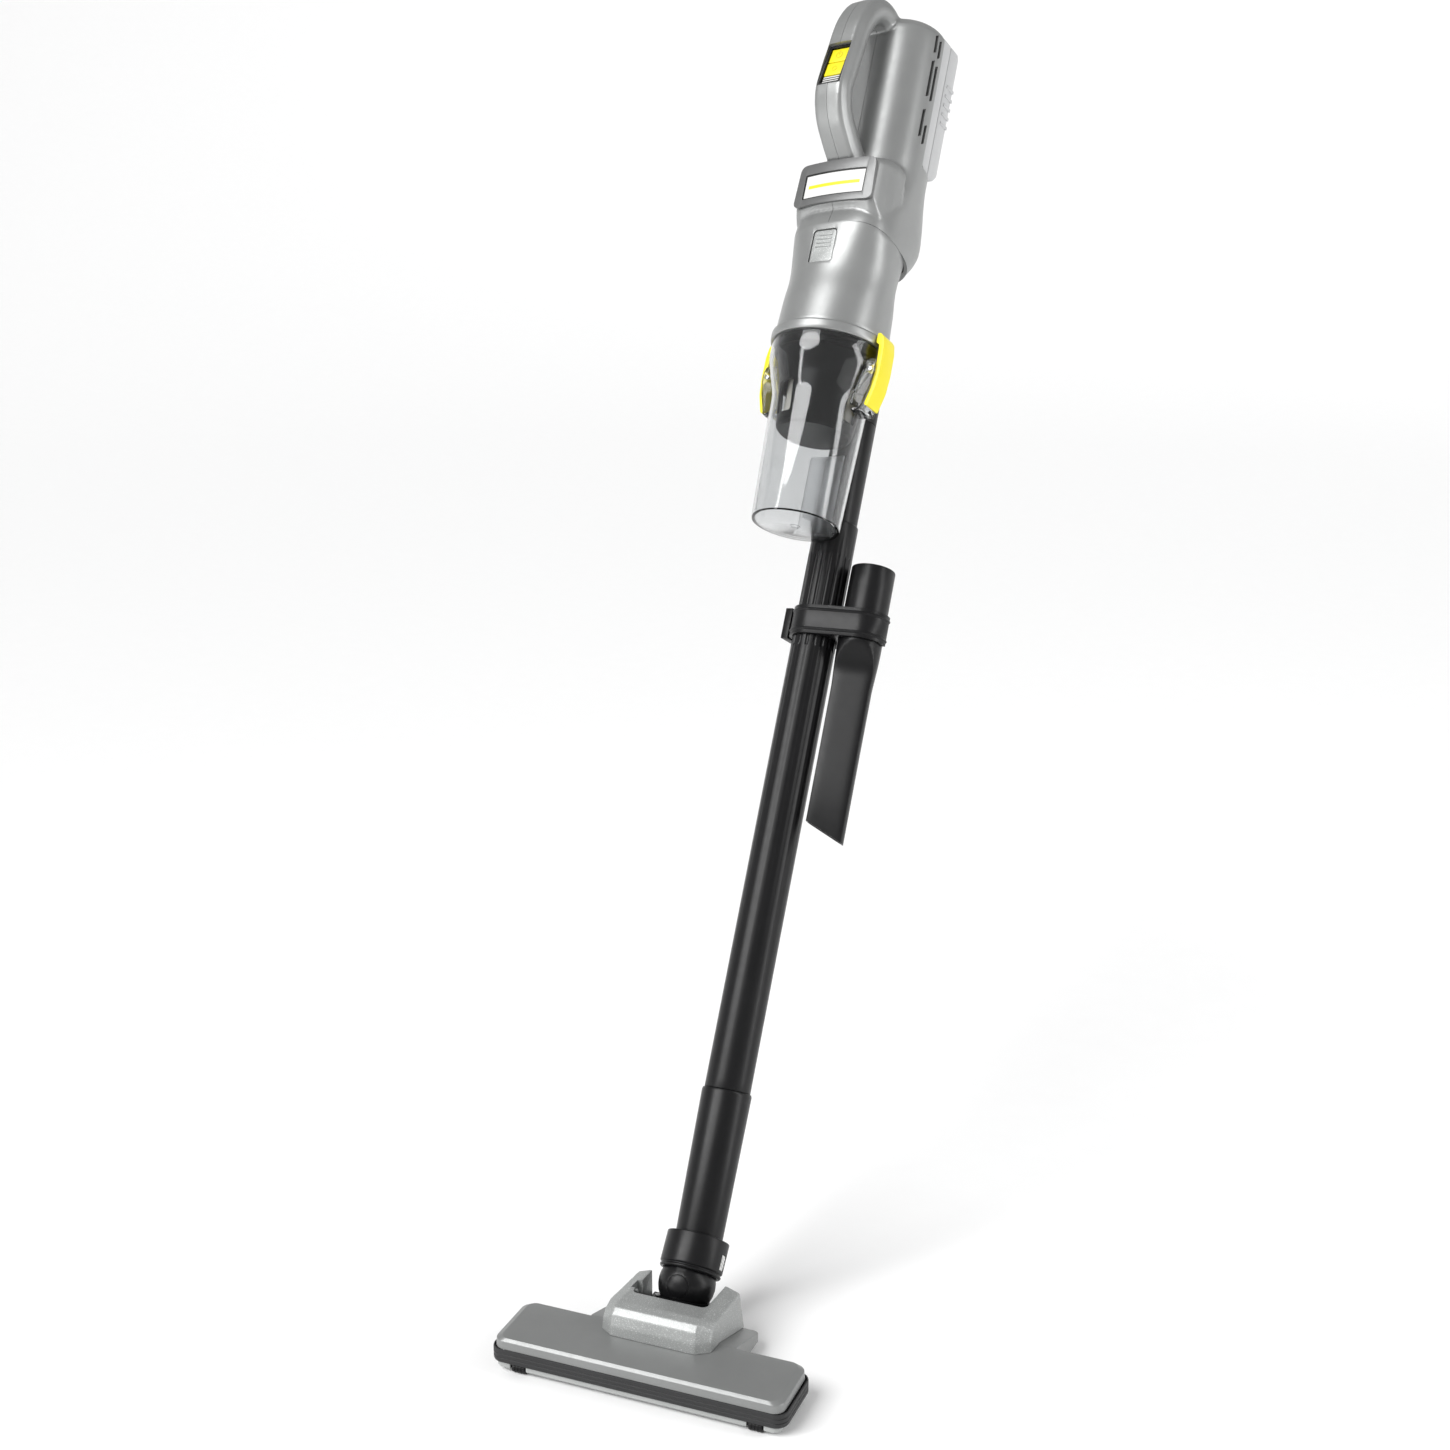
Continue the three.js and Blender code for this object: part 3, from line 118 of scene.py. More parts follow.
# Half of the handle's section: across, and out from its middle line.
HANDLE_SECTION = [(0, 11.6), (11.4, 11.2), (13.4, 9.8), (15.9, 3.5), (16, -1), (14.6, -6.5), (10, -10.6),
                  (0, -11.5)]

# The camera and the lamps, in metres: each strip's name, place, size and power.
CAMERA_AT = (0.5752, -1.2763, 0.9324)
CAMERA_LOOKS_AT = (0.0272, 0.0731, 0.5081)
CAMERA_LENS = 51.137
LAMPS_LOOK_AT = (0, 0.25, 0.5)
WORLD_STRENGTH = 0.42
SUN_AT = (-1.6, -2.2, 3.6)
SUN_POWER = 2.5
SUN_SPREAD = math.radians(38)
STRIPS = [
    ("left_strip", (-1.5, -1.5, 1.0), (0.25, 2.2), 14),
    ("right_strip", (2.0, 0.3, 1.1), (0.4, 2.0), 16),
]


# ---------------------------------------------------------------- materials
def noise(tree, scale, detail=3.0, roughness=0.5):
    coords = tree.nodes.new("ShaderNodeTexCoord")
    node = tree.nodes.new("ShaderNodeTexNoise")
    node.inputs["Scale"].default_value = scale
    node.inputs["Detail"].default_value = detail
    node.inputs["Roughness"].default_value = roughness
    tree.links.new(coords.outputs["Object"], node.inputs["Vector"])
    return node.outputs["Fac"]


def ramp(tree, source, stops):
    node = tree.nodes.new("ShaderNodeValToRGB")
    node.color_ramp.elements[0].position, node.color_ramp.elements[0].color = stops[0]
    node.color_ramp.elements[1].position, node.color_ramp.elements[1].color = stops[-1]
    for position, color in stops[1:-1]:
        node.color_ramp.elements.new(position).color = color
    tree.links.new(source, node.inputs["Fac"])
    return node.outputs["Color"]


def spread(color, by):
    """The colour darker and lighter by a share."""
    return [tuple(min(1, c * k) for c in color) + (1,) for k in (1 - by, 1 + by)]


def moulded(name, color, roughness, grain=2600, depth=0.04, vary=0.05, specks=0.0, metallic=0.0, coat=0.0,
             specular=0.5):
    """Moulded plastic or metal: cloudy colour, uneven roughness, fine grain in the bump, optional specks."""
    material = bpy.data.materials.new(name)
    material.use_nodes = True
    tree = material.node_tree
    shader = tree.nodes["Principled BSDF"]
    shader.inputs["Metallic"].default_value = metallic
    shader.inputs["Specular IOR Level"].default_value = specular
    if coat:
        shader.inputs["Coat Weight"].default_value = coat
        shader.inputs["Coat Roughness"].default_value = 0.12
    dark, light = spread(color, vary)
    clouds = noise(tree, 34, 4)
    base = ramp(tree, clouds, [(0.3, dark), (0.7, light)])
    fine = noise(tree, grain, 2, 0.6)
    if specks:
        stops = [(0.58, (0, 0, 0, 1)), (0.74, (specks,) * 3 + (1,))]
        glitter = ramp(tree, noise(tree, grain * 0.6, 1, 0.4), stops)
        add = tree.nodes.new("ShaderNodeMix")
        add.data_type = "RGBA"
        add.blend_type = "ADD"
        add.inputs["Factor"].default_value = 1
        tree.links.new(base, add.inputs["A"])
        tree.links.new(glitter, add.inputs["B"])
        base = add.outputs["Result"]
    tree.links.new(base, shader.inputs["Base Color"])
    rough = tree.nodes.new("ShaderNodeMapRange")
    rough.inputs["To Min"].default_value = max(0.03, roughness - 0.07)
    rough.inputs["To Max"].default_value = roughness + 0.07
    tree.links.new(noise(tree, 180, 5), rough.inputs["Value"])
    tree.links.new(rough.outputs["Result"], shader.inputs["Roughness"])
    bump = tree.nodes.new("ShaderNodeBump")
    bump.inputs["Strength"].default_value = 1.0
    bump.inputs["Distance"].default_value = depth * MM
    tree.links.new(fine, bump.inputs["Height"])
    tree.links.new(bump.outputs["Normal"], shader.inputs["Normal"])
    return material


def clear_plastic(name, color, roughness):
    """Clear moulded plastic with faint flow marks."""
    material = bpy.data.materials.new(name)
    material.use_nodes = True
    tree = material.node_tree
    shader = tree.nodes["Principled BSDF"]
    shader.inputs["Transmission Weight"].default_value = 1.0
    shader.inputs["IOR"].default_value = 1.46
    shader.inputs["Roughness"].default_value = roughness
    dark, light = spread(color, 0.02)
    tree.links.new(ramp(tree, noise(tree, 60, 3), [(0.3, dark), (0.7, light)]), shader.inputs["Base Color"])
    bump = tree.nodes.new("ShaderNodeBump")
    bump.inputs["Distance"].default_value = 0.02 * MM
    tree.links.new(noise(tree, 140, 4), bump.inputs["Height"])
    tree.links.new(bump.outputs["Normal"], shader.inputs["Normal"])
    return material


def brushed(name, color, roughness, stretch, metallic=1.0):
    """Fine lines along one direction, for turned metal, wound wire and rows of bristles."""
    material = moulded(name, color, roughness, grain=900, depth=0.02, metallic=metallic)
    tree = material.node_tree
    coords = tree.nodes.new("ShaderNodeTexCoord")
    mapping = tree.nodes.new("ShaderNodeMapping")
    mapping.inputs["Scale"].default_value = stretch
    lines = tree.nodes.new("ShaderNodeTexNoise")
    lines.inputs["Scale"].default_value = 300
    tree.links.new(coords.outputs["Object"], mapping.inputs["Vector"])
    tree.links.new(mapping.outputs["Vector"], lines.inputs["Vector"])
    bump = next(n for n in tree.nodes if n.type == "BUMP")
    tree.links.new(lines.outputs["Fac"], bump.inputs["Height"])
    return material


MATERIALS = {
    "body_gray": moulded("body_gray_satin", (0.30, 0.305, 0.303), 0.36, grain=3000, depth=0.012, vary=0.03,
                         metallic=0.55),
    "light_gray": moulded("light_gray_satin", (0.34, 0.35, 0.345), 0.46, grain=2400, depth=0.03, specks=0.3,
                          metallic=0.5),
    "cover_gray": moulded("cover_gray_satin", (0.235, 0.24, 0.238), 0.38, grain=2800, depth=0.012, vary=0.03,
                          metallic=0.4),
    "sole_gray": moulded("sole_gray_satin", (0.36, 0.37, 0.365), 0.5, grain=2400, depth=0.02),
    "black_plastic": moulded("black_plastic_grain", (0.006, 0.006, 0.0065), 0.33, grain=1500, depth=0.03,
                             vary=0.12, specular=0.24),
    "band_plastic": moulded("band_plastic_soft", (0.026, 0.026, 0.027), 0.5, grain=1900, depth=0.04,
                            specular=0.3),
    "black_rubber": moulded("black_rubber_soft", (0.012, 0.012, 0.012), 0.75, grain=1600, depth=0.06),
    "yellow_plastic": moulded("yellow_plastic_satin", (0.86, 0.74, 0.012), 0.38, grain=3000, depth=0.01,
                              vary=0.015),
    "white_plastic": moulded("white_plastic_satin", (0.72, 0.72, 0.71), 0.35, grain=3000, depth=0.008,
                             vary=0.02),
    "clear_plastic": clear_plastic("clear_plastic_cup", (0.80, 0.81, 0.815), 0.04),
    "frosted_plastic": moulded("battery_pale_satin", (0.50, 0.505, 0.51), 0.42, grain=2600, depth=0.015,
                               vary=0.02),
    "steel": brushed("steel_turned", (0.56, 0.57, 0.58), 0.28, (1, 1, 14)),
    "copper_winding": brushed("copper_wound", (0.60, 0.28, 0.13), 0.35, (1, 1, 40)),
    "board_green": moulded("board_green_mask", (0.015, 0.10, 0.035), 0.35, grain=1200, depth=0.03),
    "filter_paper": moulded("filter_paper_fibres", (0.76, 0.74, 0.68), 0.9, grain=700, depth=0.12, vary=0.08),
    "cell_blue": moulded("cell_film", (0.03, 0.09, 0.25), 0.25, grain=500, depth=0.03, coat=0.4),
    "bristle": brushed("bristle_rows", (0.02, 0.02, 0.02), 0.8, (14, 1, 1), metallic=0),
}
PLATE_GRAY = moulded("plate_gray_satin", (0.17, 0.172, 0.172), 0.35, grain=3000, depth=0.012, vary=0.03,
                     metallic=0.5)
BAFFLE = clear_plastic("baffle_frosted", (0.80, 0.81, 0.82), 0.35)
DARK_LINE = moulded("dark_print", (0.008, 0.008, 0.008), 0.45, grain=2500, depth=0.008)
YELLOW_LINE = moulded("yellow_print", (0.90, 0.80, 0.012), 0.4, grain=2500, depth=0.006)
YELLOW_RELIEF = moulded("yellow_relief", (0.70, 0.60, 0.015), 0.45, grain=2500, depth=0.01)


# ---------------------------------------------------------------- mesh helpers
def linked(name, mesh):
    obj = bpy.data.objects.new(name, mesh)
    bpy.context.scene.collection.objects.link(obj)
    return obj


def from_bmesh(name, solid):
    mesh = bpy.data.meshes.new(name)
    solid.to_mesh(mesh)
    solid.free()
    return linked(name, mesh)


def new_object(name, verts, faces, place):
    mesh = bpy.data.meshes.new(name)
    mesh.from_pydata([place @ Vector(v) for v in verts], [], faces)
    solid = bmesh.new()
    solid.from_mesh(mesh)
    bmesh.ops.recalc_face_normals(solid, faces=solid.faces)
    solid.to_mesh(mesh)
    solid.free()
    return linked(name, mesh)


def drop(obj):
    mesh = obj.data
    bpy.data.objects.remove(obj)
    bpy.data.meshes.remove(mesh)


def apply(obj):
    """Bakes the object's modifiers into its mesh."""
    graph = bpy.context.evaluated_depsgraph_get()
    mesh = bpy.data.meshes.new_from_object(obj.evaluated_get(graph))
    obj.modifiers.clear()
    old = obj.data
    obj.data = mesh
    bpy.data.meshes.remove(old)
    return obj


def boolean(obj, operation, *tools):
    for tool in tools:
        step = obj.modifiers.new("boolean", "BOOLEAN")
        step.operation = operation
        step.solver = "MANIFOLD"
        step.object = tool
        apply(obj)
        drop(tool)
    return obj


def cut(obj, *tools):
    return boolean(obj, "DIFFERENCE", *tools)


def keep(obj, *tools):
    return boolean(obj, "INTERSECT", *tools)


def join(obj, *tools):
    return boolean(obj, "UNION", *tools)


def copy_of(obj):
    twin = obj.copy()
    twin.data = obj.data.copy()
    bpy.context.scene.collection.objects.link(twin)
    return twin


def soften(obj, voxel, rounds, factor=0.5):
    """Remeshes the object evenly and smooths it, so that its edges and inner corners become round."""
    remesh = obj.modifiers.new("remesh", "REMESH")
    remesh.mode = "VOXEL"
    remesh.voxel_size = voxel * MM
    smooth = obj.modifiers.new("smooth", "SMOOTH")
    smooth.factor = factor
    smooth.iterations = rounds
    return apply(obj)


def bevel(obj, width, segments=2, angle=32):
    step = obj.modifiers.new("bevel", "BEVEL")
    step.width = width * MM
    step.segments = segments
    step.limit_method = "ANGLE"
    step.angle_limit = math.radians(angle)
    return apply(obj)


def arc_between(a, b, c, radius, steps):
    """The corner b between a and c, rounded."""
    a, b, c = Vector(a), Vector(b), Vector(c)
    reach = min(radius, (a - b).length * 0.45, (c - b).length * 0.45)
    start, end = b + (a - b).normalized() * reach, b + (c - b).normalized() * reach
    return [tuple(start.lerp(b, t).lerp(b.lerp(end, t), t)) for t in (i / steps for i in range(steps + 1))]


def rounded(profile, radius, closed=True, steps=3):
    """A 2-D outline with every corner rounded; an open one keeps its two ends."""
    count = len(profile)
    points = []
    for i, corner in enumerate(profile):
        if not closed and i in (0, count - 1):
            points.append(corner)
        else:
            points += arc_between(profile[i - 1], corner, profile[(i + 1) % count], radius, steps)
    return points


def loft(name, rings, place, caps=True):
    """A skin through rings of equal length; with no caps the last ring joins the first."""
    count = len(rings[0])
    verts = [point for ring in rings for point in ring]
    rows = len(rings) if not caps else len(rings) - 1
    faces = [
        (r * count + i, r * count + (i + 1) % count,
         (r + 1) % len(rings) * count + (i + 1) % count, (r + 1) % len(rings) * count + i)
        for r in range(rows) for i in range(count)
    ]
    if caps:
        faces += [tuple(reversed(range(count))), tuple(range(len(verts) - count, len(verts)))]
    return new_object(name, verts, faces, place)


def circle(radius, z, steps, x=0.0, y=0.0):
    return [(x + radius * math.cos(math.tau * i / steps), y + radius * math.sin(math.tau * i / steps), z)
            for i in range(steps)]


def turned(name, profile, place, steps=96, x=0.0, y=0.0, hollow=False):
    """A body turned about the local Z axis. A solid one's profile runs from its lower cap to its upper."""
    rings = [circle(r, z, steps, x, y) for r, z in profile if r > 1e-6]
    return loft(name, rings, place, caps=not hollow)


def ring_of(name, radius, bore, low, high, place, edge=0.5, steps=96, x=0.0, y=0.0):
    profile = rounded([(bore, low), (radius, low), (radius, high), (bore, high)], edge)
    return turned(name, profile, place, steps, x, y, hollow=True)


def rod(name, radius, low, high, place, edge=0.0, steps=64, x=0.0, y=0.0):
    profile = [(radius, low), (radius, high)]
    if edge:
        profile = [(radius - edge, low), (radius - edge * 0.3, low + edge * 0.3), (radius, low + edge),
                   (radius, high - edge), (radius - edge * 0.3, high - edge * 0.3), (radius - edge, high)]
    return turned(name, profile, place, steps, x, y)


def box(name, low, high, place):
    verts = [(x, y, z) for x in (low[0], high[0]) for y in (low[1], high[1]) for z in (low[2], high[2])]
    faces = [(0, 1, 3, 2), (4, 6, 7, 5), (0, 4, 5, 1), (2, 3, 7, 6), (0, 2, 6, 4), (1, 5, 7, 3)]
    return new_object(name, verts, faces, place)


def prism(name, outline, low, high, axis, place):
    """A 2-D outline pushed along X, Y or Z."""
    place_of = {"X": 0, "Y": 1, "Z": 2}[axis]
    rings = [[(a, b)[:place_of] + (t,) + (a, b)[place_of:] for a, b in outline] for t in (low, high)]
    return loft(name, rings, place)


def rounded_rect(x0, x1, y0, y1, radius, steps=6):
    corners = [(x1 - radius, y1 - radius), (x0 + radius, y1 - radius),
               (x0 + radius, y0 + radius), (x1 - radius, y0 + radius)]
    return [(cx + radius * math.cos((quarter + i / steps) * math.pi / 2),
             cy + radius * math.sin((quarter + i / steps) * math.pi / 2))
            for quarter, (cx, cy) in enumerate(corners) for i in range(steps + 1)]


def hull(name, points, place):
    solid = bmesh.new()
    for point in points:
        solid.verts.new(place @ Vector(point))
    bmesh.ops.convex_hull(solid, input=solid.verts)
    return from_bmesh(name, solid)


def through(points, per):
    """Points on a smooth curve through the given ones, whatever their number of coordinates."""
    out = []
    for i in range(len(points) - 1):
        p = [points[max(i - 1, 0)], points[i], points[i + 1], points[min(i + 2, len(points) - 1)]]
        for j in range(per):
            t = j / per
            weights = ((-t + 2 * t * t - t**3) / 2, (2 - 5 * t * t + 3 * t**3) / 2,
                       (t + 4 * t * t - 3 * t**3) / 2, (-t * t + t**3) / 2)
            out.append(tuple(sum(w * v for w, v in zip(weights, values)) for values in zip(*p)))
    return out + [tuple(points[-1])]


def from_cad(node, name):
    """A copy of a CAD node's mesh with its flat faces whole again, ready for round edges."""
    source = frame["nodes"][node]
    solid = bmesh.new()
    solid.from_mesh(source.data)
    bmesh.ops.remove_doubles(solid, verts=solid.verts, dist=0.005 * MM)
    bmesh.ops.dissolve_limit(solid, angle_limit=math.radians(0.6), verts=solid.verts, edges=solid.edges)
    return from_bmesh(name, solid)


def shade(obj, angle=30):
    obj.data.polygons.foreach_set("use_smooth", [True] * len(obj.data.polygons))
    obj.data.set_sharp_from_angle(angle=math.radians(angle))


def settle(obj, body, slot, *nodes, material=None, angle=30):
    """Gives a finished piece its material (its slot's unless another is given), smooth shading and its body,
    and hides the CAD nodes that it stands for.
    """
    obj.data.materials.clear()
    obj.data.materials.append(material or MATERIALS[slot])
    shade(obj, angle)
    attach(obj, body)
    if nodes:
        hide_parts(*nodes)
    return obj


# ---------------------------------------------------------------- sections of the hand unit
def body_ring(row, inset=0.0, facets=96):
    s, half, middle, front, back, square = row
    ring = []
    for i in range(facets):
        angle = math.tau * i / facets
        c, d = math.cos(angle), math.sin(angle)
        depth = (front - middle if d > 0 else middle - back) - inset
        x = math.copysign((half - inset) * abs(c) ** (2 / square), c)
        ring.append((x, -(middle + math.copysign(depth * abs(d) ** (2 / square), d)), s))
    return ring


def above_seam(name, shift):
    """A block whose lower side is the slanted seam between the filter housing and the main housing."""
    def seam(q):
        return SEAM_S + SEAM_SLOPE * (q - CUP_Q) + shift
    outline = [(-200, seam(200)), (100, seam(-100)), (100, 1400), (-200, 1400)]
    return prism(name, outline, -90, 90, "X", UNIT)


def handle_rings():
    line = through(HANDLE_LINE, 6)
    section = HANDLE_SECTION + [(-a, b) for a, b in reversed(HANDLE_SECTION[1:-1])]
    rings = []
    for i, (q, s) in enumerate(line):
        before, after = line[max(i - 1, 0)], line[min(i + 1, len(line) - 1)]
        along = Vector((after[0] - before[0], after[1] - before[1])).normalized()
        out = Vector((-along.y, along.x))
        rings.append([(a, -(q + out.x * b), s + out.y * b) for a, b in section])
    return rings


def vent_outline(q, low, high):
    """A narrow slot with slanted ends."""
    back, front = -q - VENT_HALF, -q + VENT_HALF
    return rounded([(back, low - VENT_SLANT), (front, low + VENT_SLANT),
                    (front, high + VENT_SLANT), (back, high - VENT_SLANT)], 0.5)


def housing_form():
    """The outside of the main housing, its pedestal and its handle, as one smooth form."""
    body = loft("housing_form", [body_ring(row) for row in through(BODY_SECTIONS, 5)], UNIT)
    rings = [[(x, -q, s) for x, s in rounded_rect(-half, half, low, high, corner, 8)]
             for q, half, low, high, corner in PEDESTAL]
    pedestal = loft("pedestal_form", rings, UNIT)
    join(body, pedestal, loft("handle_form", handle_rings(), UNIT))
    return soften(body, 1.15, 7)


def cut_vents(body):
    for side, _ in SIDES:
        for q, spans in VENTS:
            for low, high in spans:
                cut(body, prism("vent", vent_outline(q, low, high), side * 38, side * 60, "X", UNIT))


def add_screw_bosses(body, outside):
    """Bosses that end at the outside's surface, with a hole for each screw's head and shank."""
    for s, q, out in SCREWS:
        place = UNIT @ Matrix.Translation((0, -q, s)) @ Matrix.Rotation(math.radians(90), 4, "Y")
        join(body, keep(rod("screw_boss", 5.6, -60, out + 13, place, steps=48), copy_of(outside)))
        head = rod("screw_hole", 3.7, -70, out + 2.7, place, steps=48)
        cut(body, head, rod("screw_bore", 1.9, -60, out + 18, place, steps=24))


def main_housing():
    """The two halves of the main housing, each with its half of the handle."""
    body = housing_form()
    rows = through(BODY_SECTIONS[1:-1], 4)
    inner = loft("housing_hollow", [body_ring(row, SHELL_WALL) for row in rows], UNIT)
    cut(inner, box("bay_wall", (-70, -BAY_Q - SHELL_WALL, BAY_LOW - SHELL_WALL), (70, 60, 1200), UNIT))
    cut(body, box("battery_bay", (-70, -BAY_Q, BAY_LOW), (70, 60, 1200), UNIT))
    keep(body, above_seam("above_seam", 0.2))
    outside = copy_of(body)
    pocket = rounded_rect(-11.8, 11.8, -21.8, 21.8, 1.2)
    cut(body, inner, prism("panel_pocket", pocket, -12, 7, "Y", PANEL_PLACE))
    cut_vents(body)
    add_screw_bosses(body, outside)
    drop(outside)
    for side, word in SIDES:
        half = copy_of(body)
        half.name = f"housing_shell_{word}"
        low, high = sorted((side * 0.15, side * 90))
        keep(half, box("half_space", (low, -200, 800), (high, 60, 1200), UNIT))
        settle(half, "hand_unit", "body_gray", f"housing_{word}", "handle", angle=42)
    drop(body)


def filter_housing():
    rows = through(BARREL_SECTIONS, 6)
    barrel = loft("filter_housing_shell", [body_ring(row, 0, 128) for row in rows], UNIT)
    inner_rows = [(rows[0][0] - 1, *rows[0][1:]), *rows[1:-1], (rows[-1][0] + 1, *rows[-1][1:])]
    hollow = loft("barrel_hollow", [body_ring(row, SHELL_WALL, 128) for row in inner_rows], UNIT)
    cut(barrel, hollow, above_seam("barrel_top", -0.2))
    outline = rounded_rect(-12.1, 12.1, 857.1, 888.4, 3.4)
    cut(barrel, prism("button_hole", outline, -120, -80, "Y", UNIT))
    cut(barrel, latch_notch(-1), latch_notch(1))
    settle(bevel(barrel, 0.35, 2, 50), "hand_unit", "body_gray", "filter_housing")


def latch_notch(side):
    low, high = sorted((side * 50.4, side * 70))
    return box("latch_notch", (low, -68.7, 780), (high, -49.3, 803), UNIT)


def housing_ring():
    profile = rounded([(46, 791), (51.4, 791), (52, 793.4), (52, 798.6), (51, 800), (46, 800)], 0.6)
    ring = turned("housing_ring_band", profile, UNIT, 128, y=-CUP_Q, hollow=True)
    cut(ring, latch_notch(-1), latch_notch(1))
    settle(ring, "hand_unit", "body_gray", "housing_ring")


def dressed(node, body, slot, width, segments=2, angle=32, material=None):
    """A piece made from a CAD node, with its sharp edges rounded."""
    piece = bevel(from_cad(node, node + "_shape"), width, segments, angle)
    return settle(piece, body, slot, node, material=material)


# ---------------------------------------------------------------- the name plate, the label and the controls
def bowed_strip(name, x0, x1, s0, s1, q, thick, steps=24):
    """A thin strip that follows the label's bow across x."""
    rings = []
    for i in range(steps + 1):
        x = x0 + (x1 - x0) * i / steps
        y = -q + x * x / 440
        rings.append([(x, y, s0), (x, y + thick, s0), (x, y + thick, s1), (x, y, s1)])
    return loft(name, rings, UNIT)


# The label's border and stripe: name, x from, x to, s from, s to, material, slot.
LABEL_LINES = [
    ("label_border_top", -30.8, 30.8, 941.2, 942.2, DARK_LINE, "black_plastic"),
    ("label_border_low", -30.8, 30.8, 919.4, 920.2, DARK_LINE, "black_plastic"),
    ("label_border_left", -30.8, -29.8, 920.2, 941.2, DARK_LINE, "black_plastic"),
    ("label_border_right", 30.0, 30.8, 920.2, 941.2, DARK_LINE, "black_plastic"),
    ("label_stripe", -26, 26, 928.6, 931.6, YELLOW_LINE, "yellow_plastic"),
]


def name_plate():
    """A bowed frame with round corners, its label, and the label's border and stripe."""
    low, high, low_half, high_half = 912.8, 952.6, 40.2, 38.3
    plate = bowed_strip("name_plate_frame", -41, 41, low - 1, high + 1, 103, 2.6, 40)
    corners = [(-low_half, low), (low_half, low), (high_half, high), (-high_half, high)]
    outline = rounded(corners, 6.5, steps=8)
    keep(plate, prism("plate_outline", outline, -110, -90, "Y", UNIT))
    window = rounded_rect(-31.2, 31.2, 919, 942.6, 1.6)
    cut(plate, prism("plate_window", window, -120, -90, "Y", UNIT))
    settle(bevel(plate, 0.7, 3, 40), "hand_unit", "body_gray", "name_plate", material=PLATE_GRAY)
    label = bowed_strip("label_face", -30.9, 30.9, 919.3, 942.3, 102.2, 1.4, 40)
    settle(label, "hand_unit", "white_plastic", "label")
    for name, x0, x1, s0, s1, material, slot in LABEL_LINES:
        settle(bowed_strip(name, x0, x1, s0, s1, 102.4, 0.3), "hand_unit", slot, material=material)


def ring_mark(name, radius, width, x, s):
    """A raised ring on a button, standing for its sign."""
    place = PANEL_PLACE @ Matrix.Translation((x, 0.8, s)) @ Matrix.Rotation(math.radians(90), 4, "X")
    return ring_of(name, radius, radius - width, -0.1, 0.35, place, 0.1, 48)


def release_button():
    """A flat button with round upper corners and four low ribs, in a gap of its own."""
    outline = [(-11.3, 857.7), (11.3, 857.7)] + arc_between((11.3, 870), (11.3, 887.7), (0, 887.7), 3.4, 8)
    outline += arc_between((0, 887.7), (-11.3, 887.7), (-11.3, 870), 3.4, 8)
    face = bevel(along_q("release_button_face", outline, 93.6, 98.9), 0.5, 3, 40)
    for row in range(4):
        s = 871.8 + row * 3.6
        join(face, bevel(box("rib", (-7.6, -99.6, s), (7.6, -98, s + 1.1), UNIT), 0.3, 2))
    settle(face, "release_button", "light_gray", "release_button")


def controls():
    dressed("button_panel", "hand_unit", "black_plastic", 0.35)
    dressed("power_button", "power_button", "yellow_plastic", 0.9, 3)
    dressed("boost_button", "boost_button", "yellow_plastic", 0.9, 3)
    for row in range(3):
        s = -13.4 - row * 2.4
        bar = box(f"indicator_bar_{row + 1}", (-8.2, 0.9, s), (8.2, 1.6, s + 1.2), PANEL_PLACE)
        settle(bevel(bar, 0.2, 2), "hand_unit", "white_plastic", "indicator_strips")
    release_button()
    ring = ring_mark("power_sign_ring", 3.4, 0.7, 0, 11.5)
    settle(ring, "power_button", "yellow_plastic", material=YELLOW_RELIEF)
    bar = box("power_sign_bar", (-0.35, 0.45, 11.6), (0.35, 0.9, 16), PANEL_PLACE)
    settle(bevel(bar, 0.12, 1), "power_button", "yellow_plastic", material=YELLOW_RELIEF)
    ring = ring_mark("boost_sign_ring", 2.6, 0.7, 0, -3.6)
    settle(ring, "boost_button", "yellow_plastic", material=YELLOW_RELIEF)


# ---------------------------------------------------------------- the battery
def battery():
    dressed("battery_base", "battery", "frosted_plastic", 1.6, 3, 25)
    dressed("battery_cover", "battery", "frosted_plastic", 2.2, 4, 25)
    dressed("battery_button", "battery_button", "frosted_plastic", 0.8, 2)
    for side, word in SIDES:
        for row in range(5):
            s = 1030 + row * 9
            low, high = sorted((side * 38.6, side * 39.7))
            ridge = box(f"battery_ridge_{word}_{row + 1}", (low, -17, s), (high, -5, s + 3.2), UNIT)
            settle(bevel(ridge, 0.5, 3), "battery", "frosted_plastic")


# ---------------------------------------------------------------- the dust cup
def cup_wall(inset):
    """The cup's outline from its floor up: radius and s."""
    low = 632 + inset
    return [
        (38 - inset - 1.6, low), (38 - inset - 0.5, low + 0.4), (38 - inset, low + 1.6),
        (41.3 - inset, 735),
        (41.6 - inset, 742), (42.2 - inset, 746), (43.4 - inset, 750),
        (48.6 - inset, 770), (49.6 - inset, 774),
        (50 - inset, 777.5), (50 - inset, 788.6 + 2 * bool(inset)), (49.4 - inset, 790.4 + bool(inset)),
    ]


def bracket_outline(side):
    points = [(38, 737), (49, 731.5), (51.5, 741), (55, 752), (57.2, 764), (57.2, 771), (55, 777), (44, 777)]
    return rounded([(side * x, s) for x, s in points], 1.6)


def q_rod(name, radius, x, s, back_q, front_q, steps=40, edge=0.0):
    place = UNIT @ Matrix.Translation((x, -back_q, s)) @ Matrix.Rotation(math.radians(90), 4, "X")
    return rod(name, radius, 0, front_q - back_q, place, edge, steps)


def along_q(name, outline, back_q, front_q):
    return prism(name, outline, -front_q, -back_q, "Y", UNIT)


